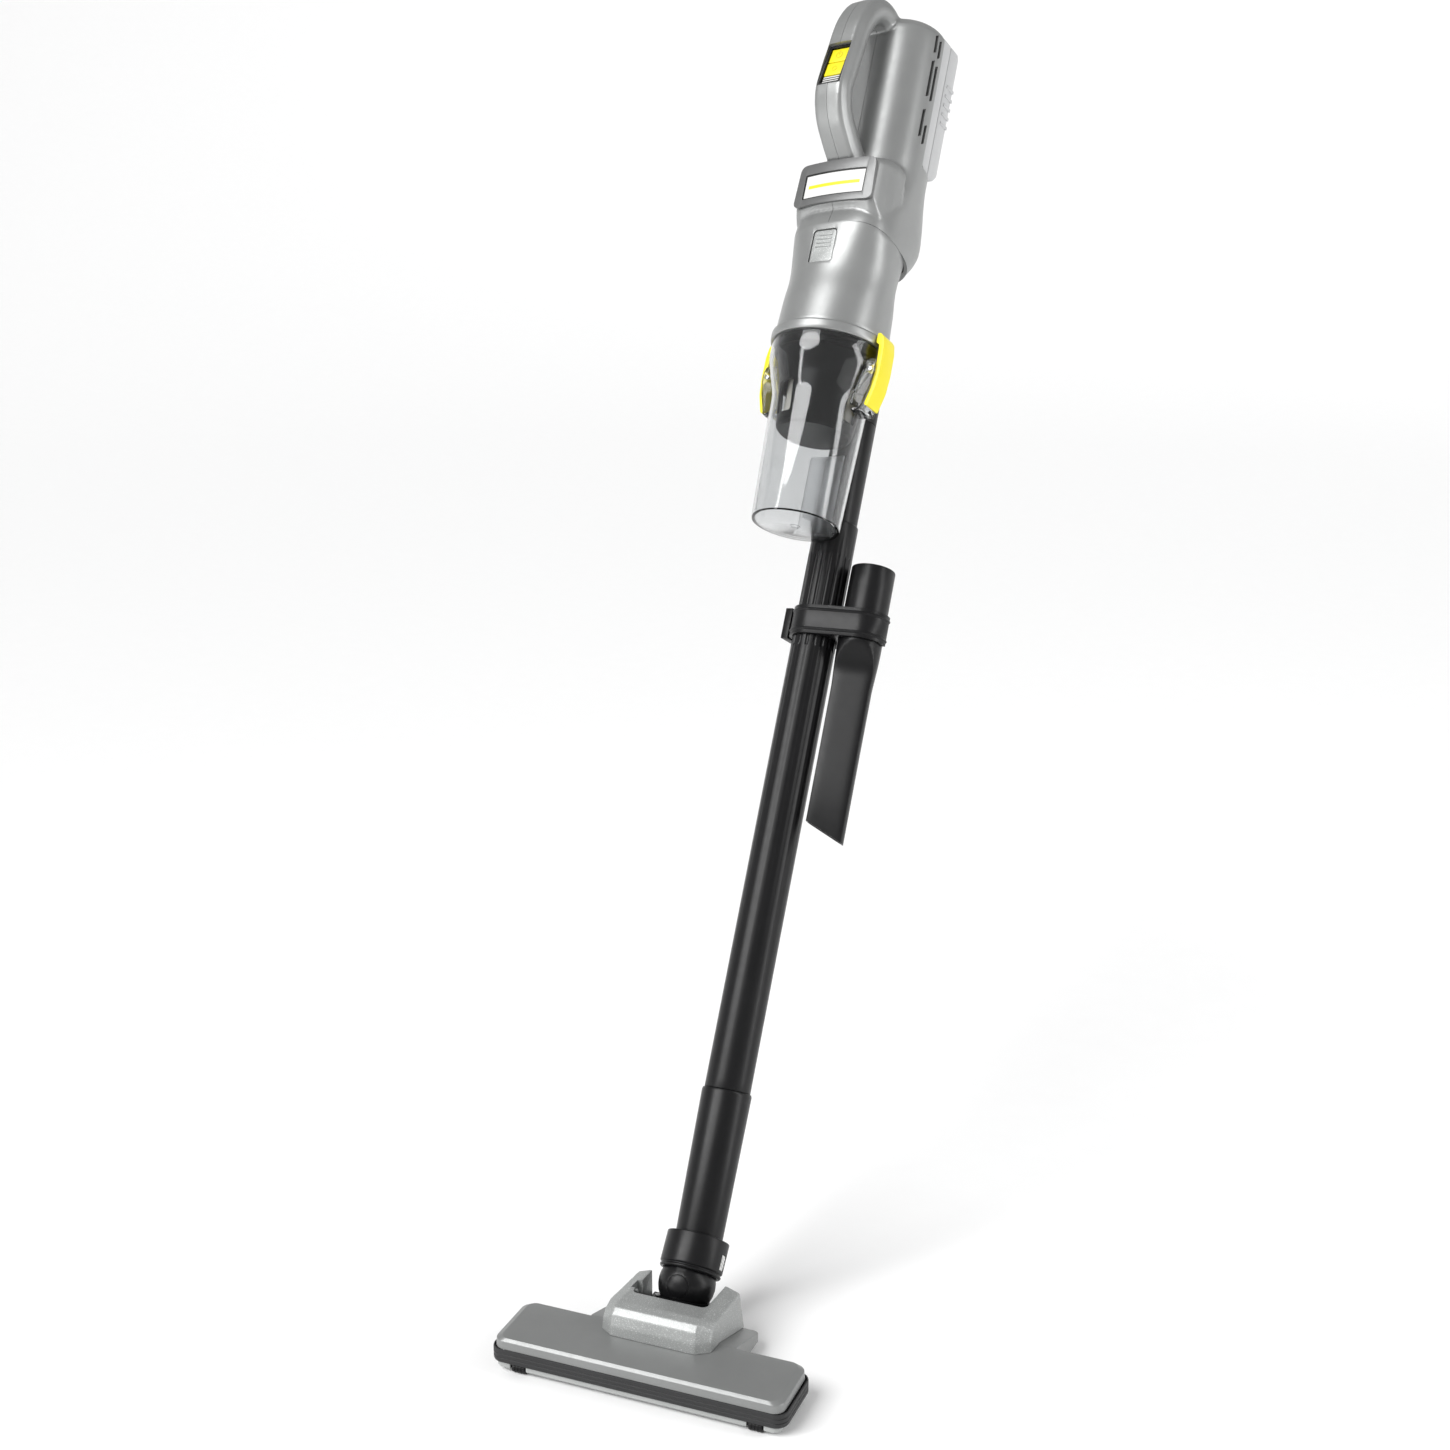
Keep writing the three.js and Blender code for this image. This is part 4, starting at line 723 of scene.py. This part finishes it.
def dust_cup():
    cup = turned("dust_cup_shell", cup_wall(0), UNIT, 128, y=-CUP_Q)
    cut(cup, box("cup_back", (-70, -20.3, 741), (70, 40, 800), UNIT))
    for side in (-1, 1):
        for back_q, front_q in ((46.6, 49.5), (68.5, 71.4)):
            plate = bevel(along_q("cup_bracket", bracket_outline(side), back_q, front_q), 0.5, 2, 40)
            join(cup, cut(plate, q_rod("pin_bore", PIN_BORE, side * PIN_X, PIN_S, 40, 80)))
        low, high = sorted((side * 36, side * 49))
        join(cup, bevel(box("cup_shelf", (low, -69, 731.5), (high, -49, 733.8), UNIT), 0.6, 2))
    inner = turned("cup_hollow", cup_wall(2.4), UNIT, 128, y=-CUP_Q)
    cut(inner, box("cup_back_wall", (-70, -22.7, 741), (70, 40, 800), UNIT))
    cut(cup, inner, box("cup_port", (-13, -30, 766), (13, -10, 784), UNIT))
    join(cup, ring_of("cup_mark", 4.4, 3.4, 631.5, 632.4, UNIT, 0.2, 48, y=-CUP_Q))
    settle(cup, "cup", "clear_plastic", "dust_cup")
    dressed("cup_baffle", "cup", "clear_plastic", 0.3, 2, material=BAFFLE)


def filter_basket():
    outer = [(30.4, 714), (33, 716), (38, 760), (44, 781), (47.1, 781), (47.1, 787)]
    inner = [(29.5, 716), (31, 717), (36, 760), (42, 782), (42, 790)]
    basket = turned("filter_basket_shape", rounded(outer, 1.2, closed=False), UNIT, 96, y=-CUP_Q)
    hollow = turned("basket_hollow", inner, UNIT, 96, y=-CUP_Q)
    cut(basket, hollow, box("basket_back", (-70, -23.1, 700), (70, 40, 800), UNIT))
    cut(basket, prism("basket_window", rounded_rect(-24, -4, 724, 752, 2.5), -110, -79.5, "Y", UNIT))
    for side in (-1, 1):
        low, high = sorted((side * 20, side * 60))
        window = rounded_rect(-68.5, -50.5, 724, 752, 2.5)
        cut(basket, prism("basket_side_window", window, low, high, "X", UNIT))
    settle(bevel(basket, 0.4, 2, 45), "hand_unit", "black_plastic", "filter_basket")


def latch(side, word):
    """A curved arm on its pin, with a hook at its top that holds the housing's ring."""
    points = [(51.2, 736.5), (54.4, 735.2), (59.2, 752), (60.6, 768), (60.4, 788), (58.6, 797.6),
              (55, 801.4), (52.2, 801.4), (52.2, 792.5), (55.6, 791), (56.4, 774), (54, 771.6),
              (50, 769.6), (50, 765.4), (55.4, 763), (55.2, 753)]
    arm = along_q(f"latch_{word}_arm", rounded([(side * x, s) for x, s in points], 2.6, steps=5), 50, 68)
    cut(arm, q_rod("pin_bore", PIN_BORE, side * PIN_X, PIN_S, 40, 80))
    settle(bevel(arm, 0.9, 3, 50), f"latch_{word}", "yellow_plastic", f"latch_{word}")
    pin = q_rod(f"latch_pin_{word}_turned", PIN_RADIUS, side * PIN_X, PIN_S, 46.2, 71.8, edge=0.4)
    settle(pin, "cup", "steel", f"latch_pin_{word}")


# ---------------------------------------------------------------- the stick
def suction_tube():
    profile = rounded([(14.2, 610.3), (17.6, 610.3), (17.6, 750), (15.8, 750), (15.8, 764), (14.2, 764)], 0.5)
    pipe = turned("suction_tube_pipe", profile, UNIT, 96, hollow=True)
    settle(pipe, "hand_unit", "black_plastic", "suction_tube")
    dressed("inlet_elbow", "hand_unit", "black_plastic", 1.2, 3, 28)


def fluted_ring(radius, z, depth, count=18, steps=288):
    """A ring with half-round grooves, each as wide as a share of its pitch."""
    share = 0.42
    ring = []
    for i in range(steps):
        angle = math.tau * i / steps
        across = abs((angle * count / math.tau) % 1 - 0.5) * 2
        r = radius - depth * math.sqrt(max(0, 1 - (across / share) ** 2))
        ring.append((r * math.cos(angle), r * math.sin(angle), z))
    return ring


def wand_tube():
    """The upper tube, with a band of grooves just under its top end."""
    inside = rounded([(17.8, 655.5), (17.95, 654.9), (17.95, 604), (16.6, 604), (16.6, 174.3), (15.4, 162.3),
                      (15.4, 116), (17.2, 116)], 0.4, closed=False)
    below = rounded([(17.2, 116), (17.8, 117), (17.8, 162.3), (WAND_RADIUS, 162.3), (WAND_RADIUS, 170)], 0.5,
                    closed=False)
    grooves = [(540.2, 0), (541.4, 0.6), (543, 0.9), (623, 0.9), (624.6, 0.6), (625.8, 0), (654.2, 0)]
    rows = [(r, z, 0) for r, z in inside[:-1] + below]
    rows += [(WAND_RADIUS, z, depth) for z, depth in grooves]
    rows += [(18.95, 655, 0), (18.6, 655.5, 0)]
    rings = [fluted_ring(r, z, depth) for r, z, depth in rows]
    settle(loft("wand_tube_pipe", rings, STICK, caps=False), "wand", "black_plastic", "wand_tube", angle=40)


def lower_sleeve():
    dressed("lower_sleeve", "sleeve", "black_plastic", 0.5, 2, 30)


def belt_outline(grow, steps=40):
    """The tight outline round the wand tube and the crevice tool."""
    big, small = 22.1 + grow, 22 + grow
    far = Vector((TOOL_X, TOOL_Y))
    tilt = math.atan2(far.y, far.x)
    lean = math.acos((big - small) / far.length)
    arc = [tilt + lean + (math.tau - 2 * lean) * i / steps for i in range(steps + 1)]
    outline = [(big * math.cos(a), big * math.sin(a)) for a in arc]
    arc = [tilt - lean + 2 * lean * i / steps for i in range(steps + 1)]
    return outline + [(far.x + small * math.cos(a), far.y + small * math.sin(a)) for a in arc]


def tool_clip():
    """The belt with its two raised lines, the wand's bore, the tool's bore and the mouth beside it."""
    rows = [(0, 550.5), (0, 553.2), (0.6, 553.6), (0.9, 554.3), (0.6, 555.4), (0, 555.9),
            (0, 570.6), (0.6, 571.1), (0.9, 572), (0.6, 572.8), (0, 573.2), (0, 576)]
    clip = loft("tool_clip_belt", [[(x, y, z) for x, y in belt_outline(grow)] for grow, z in rows], UNIT)
    cut(clip, box("clip_mouth", (14.7, 16.2, 540), (90, 60, 590), UNIT))
    cut(clip, rod("wand_bore", 19.4, 540, 590, UNIT, steps=96),
        rod("tool_bore", 19.3, 540, 590, UNIT, steps=96, x=TOOL_X, y=TOOL_Y))
    settle(bevel(clip, 0.4, 2, 50), "clip", "black_plastic", "tool_clip")
    dressed("clip_tab", "clip", "black_plastic", 0.5, 2)


def ease(t):
    t = min(1, max(0, t))
    return t * t * (3 - 2 * t)


def crevice_ring(z, inset, steps=128):
    """Round at the top, then narrowing to two flats."""
    up = min(1, max(0, (z - 519) / 28)) ** 2.2
    radius = 17.2 + 1.8 * ease((z - 500) / 46) - inset
    flat = 7 + 12 * up - inset
    ring = []
    for i in range(steps):
        angle = math.tau * i / steps
        y = radius * math.sin(angle)
        limit = flat - 1.2 * (abs(math.cos(angle)) ** 6) * (1 - up)
        ring.append((radius * math.cos(angle), max(-limit, min(limit, y)), z))
    return ring


def crevice_tool():
    place = UNIT @ Matrix.Translation((TOOL_X, TOOL_Y, 0)) @ Matrix.Rotation(math.radians(22), 4, "Z")
    heights = [371, 440, 510] + [516 + i * 3 for i in range(13)] + [560, 600]
    outer = [crevice_ring(z, 0) for z in heights + [615.6]]
    outer += [crevice_ring(616.6, 0.3), crevice_ring(617, 0.9)]
    inner = [crevice_ring(z, 1.8) for z in [370, *heights[1:], 618]]
    tool = loft("crevice_tool_shape", outer, place)
    slanted = [(-30, 398), (-4, 373.6), (30, 371), (30, 362), (-30, 362)]
    tip = hull("crevice_tip", [(x, y, z) for y in (-30, 30) for x, z in slanted], place)
    cut(tool, loft("crevice_hollow", inner, place), tip)
    settle(bevel(tool, 0.35, 2, 55), "crevice_tool", "black_plastic", "crevice_tool", angle=38)


# ---------------------------------------------------------------- the neck
def neck():
    dressed("ball_elbow", "neck", "black_plastic", 0.6, 2, 30)
    dressed("elbow_cap", "neck", "black_plastic", 0.6, 2, 30)
    profile = rounded([(21.9, 8.5), (24.2, 8.5), (25.1, 9.7), (25.1, 10.7), (24.3, 11.3),
                       (24.3, 12.1), (25.6, 12.9), (25.6, 37.5), (21.9, 37.5)], 0.9)
    collar = turned("swivel_collar_ring", profile, NECK, 128, hollow=True)
    cut(collar, box("slider_window", (23.4, -4.6, 15.2), (30, 4.6, 27.8), NECK))
    settle(bevel(collar, 0.3, 2, 60), "neck", "black_plastic", "swivel_collar", angle=38)
    dressed("lock_slider", "neck", "white_plastic", 0.3, 2)


# ---------------------------------------------------------------- the floor nozzle
REAR_TOP = [(12.6, 29.5), (62.2, 14.0)]


def rear_top(y):
    (y0, z0), (y1, z1) = REAR_TOP
    return z0 + (z1 - z0) * (y - y0) / (y1 - y0)


def plan_ring(half, front, back, corner, z, steps=10):
    return [(x, y, z) for x, y in rounded_rect(-half, half, front, back, corner, steps)]


def nozzle_cover():
    """The wide cover and its sloping rear box, hollow below. Its rows: half width, inset, corner, z."""
    rows = [(120.2, 0, 9, 20.5), (120.2, 0, 9, 20.8), (119.7, 0.1, 9, 26.6), (119.5, 0.2, 8.9, 27.0),
            (119.1, 0.4, 8.8, 27.25), (118.6, 0.6, 8.6, 27.45), (115.5, 1.7, 7.5, 29.05),
            (115.1, 1.85, 7.4, 29.25), (114.7, 2.05, 7.2, 29.4), (114.2, 2.4, 7.1, 29.5)]
    rings = [plan_ring(half, -44.9 + inset, 12.6 - inset, corner, z) for half, inset, corner, z in rows]
    cover = loft("nozzle_cover_shell", rings, NOZZLE)
    rear = prism("rear_box", rounded_rect(-62, 62, 0, 62.2, 6.5, 10), 5, 40, "Z", NOZZLE)
    slope = [(0, 0), (63.2, 0), (63.2, rear_top(63.2)), (12.6, 29.5), (0, 29.5)]
    keep(rear, prism("rear_slope", slope, -63, 63, "X", NOZZLE))
    bevel(rear, 0.8, 4, 30)
    join(cover, rear)
    rings = [plan_ring(116.7, -39.9, 8.45, 5, 0), plan_ring(115.2, -39.9, 8.45, 5, 26)]
    inside = loft("cover_hollow", rings, NOZZLE)
    rear_hollow = prism("rear_hollow", rounded_rect(-59.5, 59.5, -2, 59.7, 6.5, 8), -1, 40, "Z", NOZZLE)
    slope = [(-3, -2), (62, -2), (62, rear_top(62) - 2.5), (12.6, 27), (-3, 27)]
    keep(rear_hollow, prism("rear_hollow_slope", slope, -63, 63, "X", NOZZLE))
    cut(cover, inside, rear_hollow, rod("throat", 13, 10, 60, NOZZLE, y=44))
    cut(cover, box("cover_floor", (-63, 0, 0), (63, 59.8, 8.5), NOZZLE))
    settle(cover, "nozzle", "cover_gray", "nozzle_cover", angle=34)


def bumper_band():
    """The band round the nozzle, with two fine grooves; its rows are inset and z."""
    rows = [(0.8, 8.6), (0.2, 9.0), (0, 10.0), (0, 12.3), (0.35, 12.6), (0.35, 12.9), (0, 13.2),
            (0, 15.9), (0.35, 16.2), (0.35, 16.5), (0, 16.8), (0, 18.8), (0.2, 19.8), (0.8, 20.2)]
    rings = [plan_ring(122.7 - i, -45.9 + i, 14.45 - i, 10, z, 12) for i, z in rows]
    band = loft("bumper_band_strip", rings, NOZZLE)
    inner = prism("band_inner", rounded_rect(-119.5, 119.5, -42.7, 11.25, 6.8, 12), 0, 40, "Z", NOZZLE)
    groove = prism("band_groove", rounded_rect(-121.6, 121.6, -44.8, 13.35, 8.9, 12), 17.6, 40, "Z", NOZZLE)
    cut(band, inner, groove, box("band_opening", (-62.3, 0, 0), (62.3, 40, 40), NOZZLE))
    settle(band, "nozzle", "band_plastic", "bumper_band")


def neck_cover():
    """The raised cover: a faceted form made smooth, then cut sharply below and for the ball's valley."""
    wall = 2.5
    half = [(35.4, -9.8, 25), (45.9, -2.9, 25), (47.4, 12, 25), (48.3, 68, 8), (35.2, -8.6, 38),
            (35.1, -6.0, 46.4), (34.9, -1.5, 50.6), (34.8, 5.4, 52.2), (34.4, 22.4, 50.8),
            (45.7, -1.2, 38), (45.3, 3.5, 44.9), (45, 12, 47.8), (43.8, 68, 43.2), (33, 68, 46.9)]
    cover = hull("neck_cover_shell", [(side * x, y, z) for x, y, z in half for side in (-1, 1)], NOZZLE)
    soften(cover, 0.8, 6)
    under = [(-20, 0), (75, 0), (75, rear_top(75) + 0.3), (12.6, 29.8), (-20, 29.8)]
    cut(cover, prism("under", under, -60, 60, "X", NOZZLE),
        box("behind", (-60, 62.6, 0), (60, 90, 80), NOZZLE))
    valley = prism("valley", rounded_rect(-31.8, 31.8, 22.4, 110, 5, 8), 0, 80, "Z", NOZZLE)
    notch = box("valley_notch", (-36, 30, 33), (-31, 44, 70), NOZZLE)
    hollow = [(35.4 - wall, -9.8 + wall, 20), (45.9 - wall, -2.9 + wall, 20), (45.9 - wall, 30.4, 20),
              (33.5, -3.5, 45.5), (33, 5.4, 52 - wall), (42.6, 5, 43.5), (33, 30.4, 48.4), (42, 30.4, 45)]
    hollow = hull("neck_hollow", [(side * x, y, z) for x, y, z in hollow for side in (-1, 1)], NOZZLE)
    cut(cover, valley, hollow, notch)
    bevel(cover, 0.5, 2, 50)
    settle(cover, "nozzle", "light_gray", "neck_cover", angle=38)
    bracket = bevel(box("valley_bracket", (-35.4, 34, 36), (-32.2, 37, 45), NOZZLE), 0.4, 2)
    settle(bracket, "nozzle", "light_gray")


def wheel(node, x, half, radius, y, axle_radius, slot):
    """A wheel with round shoulders, three tread grooves and its axle's ends."""
    turn = NOZZLE @ Matrix.Translation((x, y, radius)) @ Matrix.Rotation(math.radians(90), 4, "Y")
    profile = [(axle_radius, -half - 3), (axle_radius, -half), (radius * 0.7, -half),
               (radius - 0.9, -half + 0.1), (radius - 0.2, -half + 0.5), (radius, -half + 1.3)]
    for groove in (-half * 0.45, 0, half * 0.45):
        profile += [(radius, groove - 0.45), (radius - 0.45, groove - 0.3),
                    (radius - 0.45, groove + 0.3), (radius, groove + 0.45)]
    profile += [(r, -z) for r, z in reversed(profile[:6])]
    settle(turned(node + "_tyre", profile, turn, 64), node, slot, node)


def underside():
    dressed("sole_plate", "nozzle", "sole_gray", 0.5, 2)
    dressed("ball_cradle", "nozzle", "black_plastic", 0.5, 2)
    dressed("rear_glide_strip", "nozzle", "black_rubber", 0.5, 2)
    dressed("front_glide_strip", "nozzle", "black_rubber", 0.5, 2)
    for side, word in SIDES:
        wheel(f"front_roller_{word}", side * 98.7, 6, 4, -40.2, 1.5, "black_plastic")
        wheel(f"rear_wheel_{word}", side * 48, 4.5, 8, 42, 2, "black_rubber")


# ---------------------------------------------------------------- scene set-up
def floor_sheet(steps=96):
    """A flat round floor that curves up far away, so that no horizon shows. Its sizes are in metres."""
    flat, bend = 5, 10
    turns = [math.radians(a) for a in range(0, 54, 3)]
    rings = [circle(flat + bend * math.sin(a), bend - bend * math.cos(a), steps) for a in turns]
    faces = [tuple(range(steps))]
    faces += [(r * steps + i, r * steps + (i + 1) % steps,
               (r + 1) * steps + (i + 1) % steps, (r + 1) * steps + i)
              for r in range(len(rings) - 1) for i in range(steps)]
    return new_object("floor", [point for ring in rings for point in ring], faces, Matrix())


def aim(scene, lamp, place):
    """Puts a lamp at a place, looking at the middle of the vacuum."""
    obj = bpy.data.objects.new(lamp.name, lamp)
    obj.location = place
    view = Vector(LAMPS_LOOK_AT) - Vector(place)
    obj.rotation_euler = view.to_track_quat("-Z", "Y").to_euler()
    scene.collection.objects.link(obj)


def lights(scene):
    world = bpy.data.worlds.new("studio")
    scene.world = world
    world.use_nodes = True
    background = world.node_tree.nodes["Background"]
    background.inputs["Color"].default_value = (1, 1, 1, 1)
    background.inputs["Strength"].default_value = WORLD_STRENGTH
    sun = bpy.data.lights.new("sun", "SUN")
    sun.energy = SUN_POWER
    sun.angle = SUN_SPREAD
    aim(scene, sun, SUN_AT)
    for name, place, size, power in STRIPS:
        lamp = bpy.data.lights.new(name, "AREA")
        lamp.shape = "RECTANGLE"
        lamp.size, lamp.size_y = size
        lamp.energy = power
        aim(scene, lamp, place)


def camera(scene):
    obj = bpy.data.objects.new("camera", bpy.data.cameras.new("camera"))
    obj.data.sensor_width = 36
    obj.data.lens = CAMERA_LENS
    obj.data.clip_end = 100
    obj.location = CAMERA_AT
    view = Vector(CAMERA_LOOKS_AT) - obj.location
    obj.rotation_euler = view.to_track_quat("-Z", "Y").to_euler()
    scene.collection.objects.link(obj)
    scene.camera = obj


def studio():
    """The pale floor, the lamps and the camera."""
    scene = bpy.context.scene
    scene.view_settings.view_transform = "Standard"
    floor = floor_sheet()
    paint = moulded("floor_paint", (0.92, 0.92, 0.92), 0.75, grain=30, depth=0.01, vary=0.004)
    floor.data.materials.append(paint)
    shade(floor, 60)
    lights(scene)
    camera(scene)


def dress_cad():
    """Every CAD node gets the procedural material of its slot."""
    slots = {row["node"]: row["material_slot"] for row in frame["record"]["subparts"]}
    for name, node in frame["nodes"].items():
        node.data.materials.clear()
        node.data.materials.append(MATERIALS[slots[name]])


studio()
dress_cad()
for build in (main_housing, filter_housing, housing_ring, name_plate, controls, battery, dust_cup,
              filter_basket, suction_tube, wand_tube, lower_sleeve, tool_clip, crevice_tool, neck,
              nozzle_cover, bumper_band, neck_cover, underside):
    build()
for side, word in SIDES:
    latch(side, word)
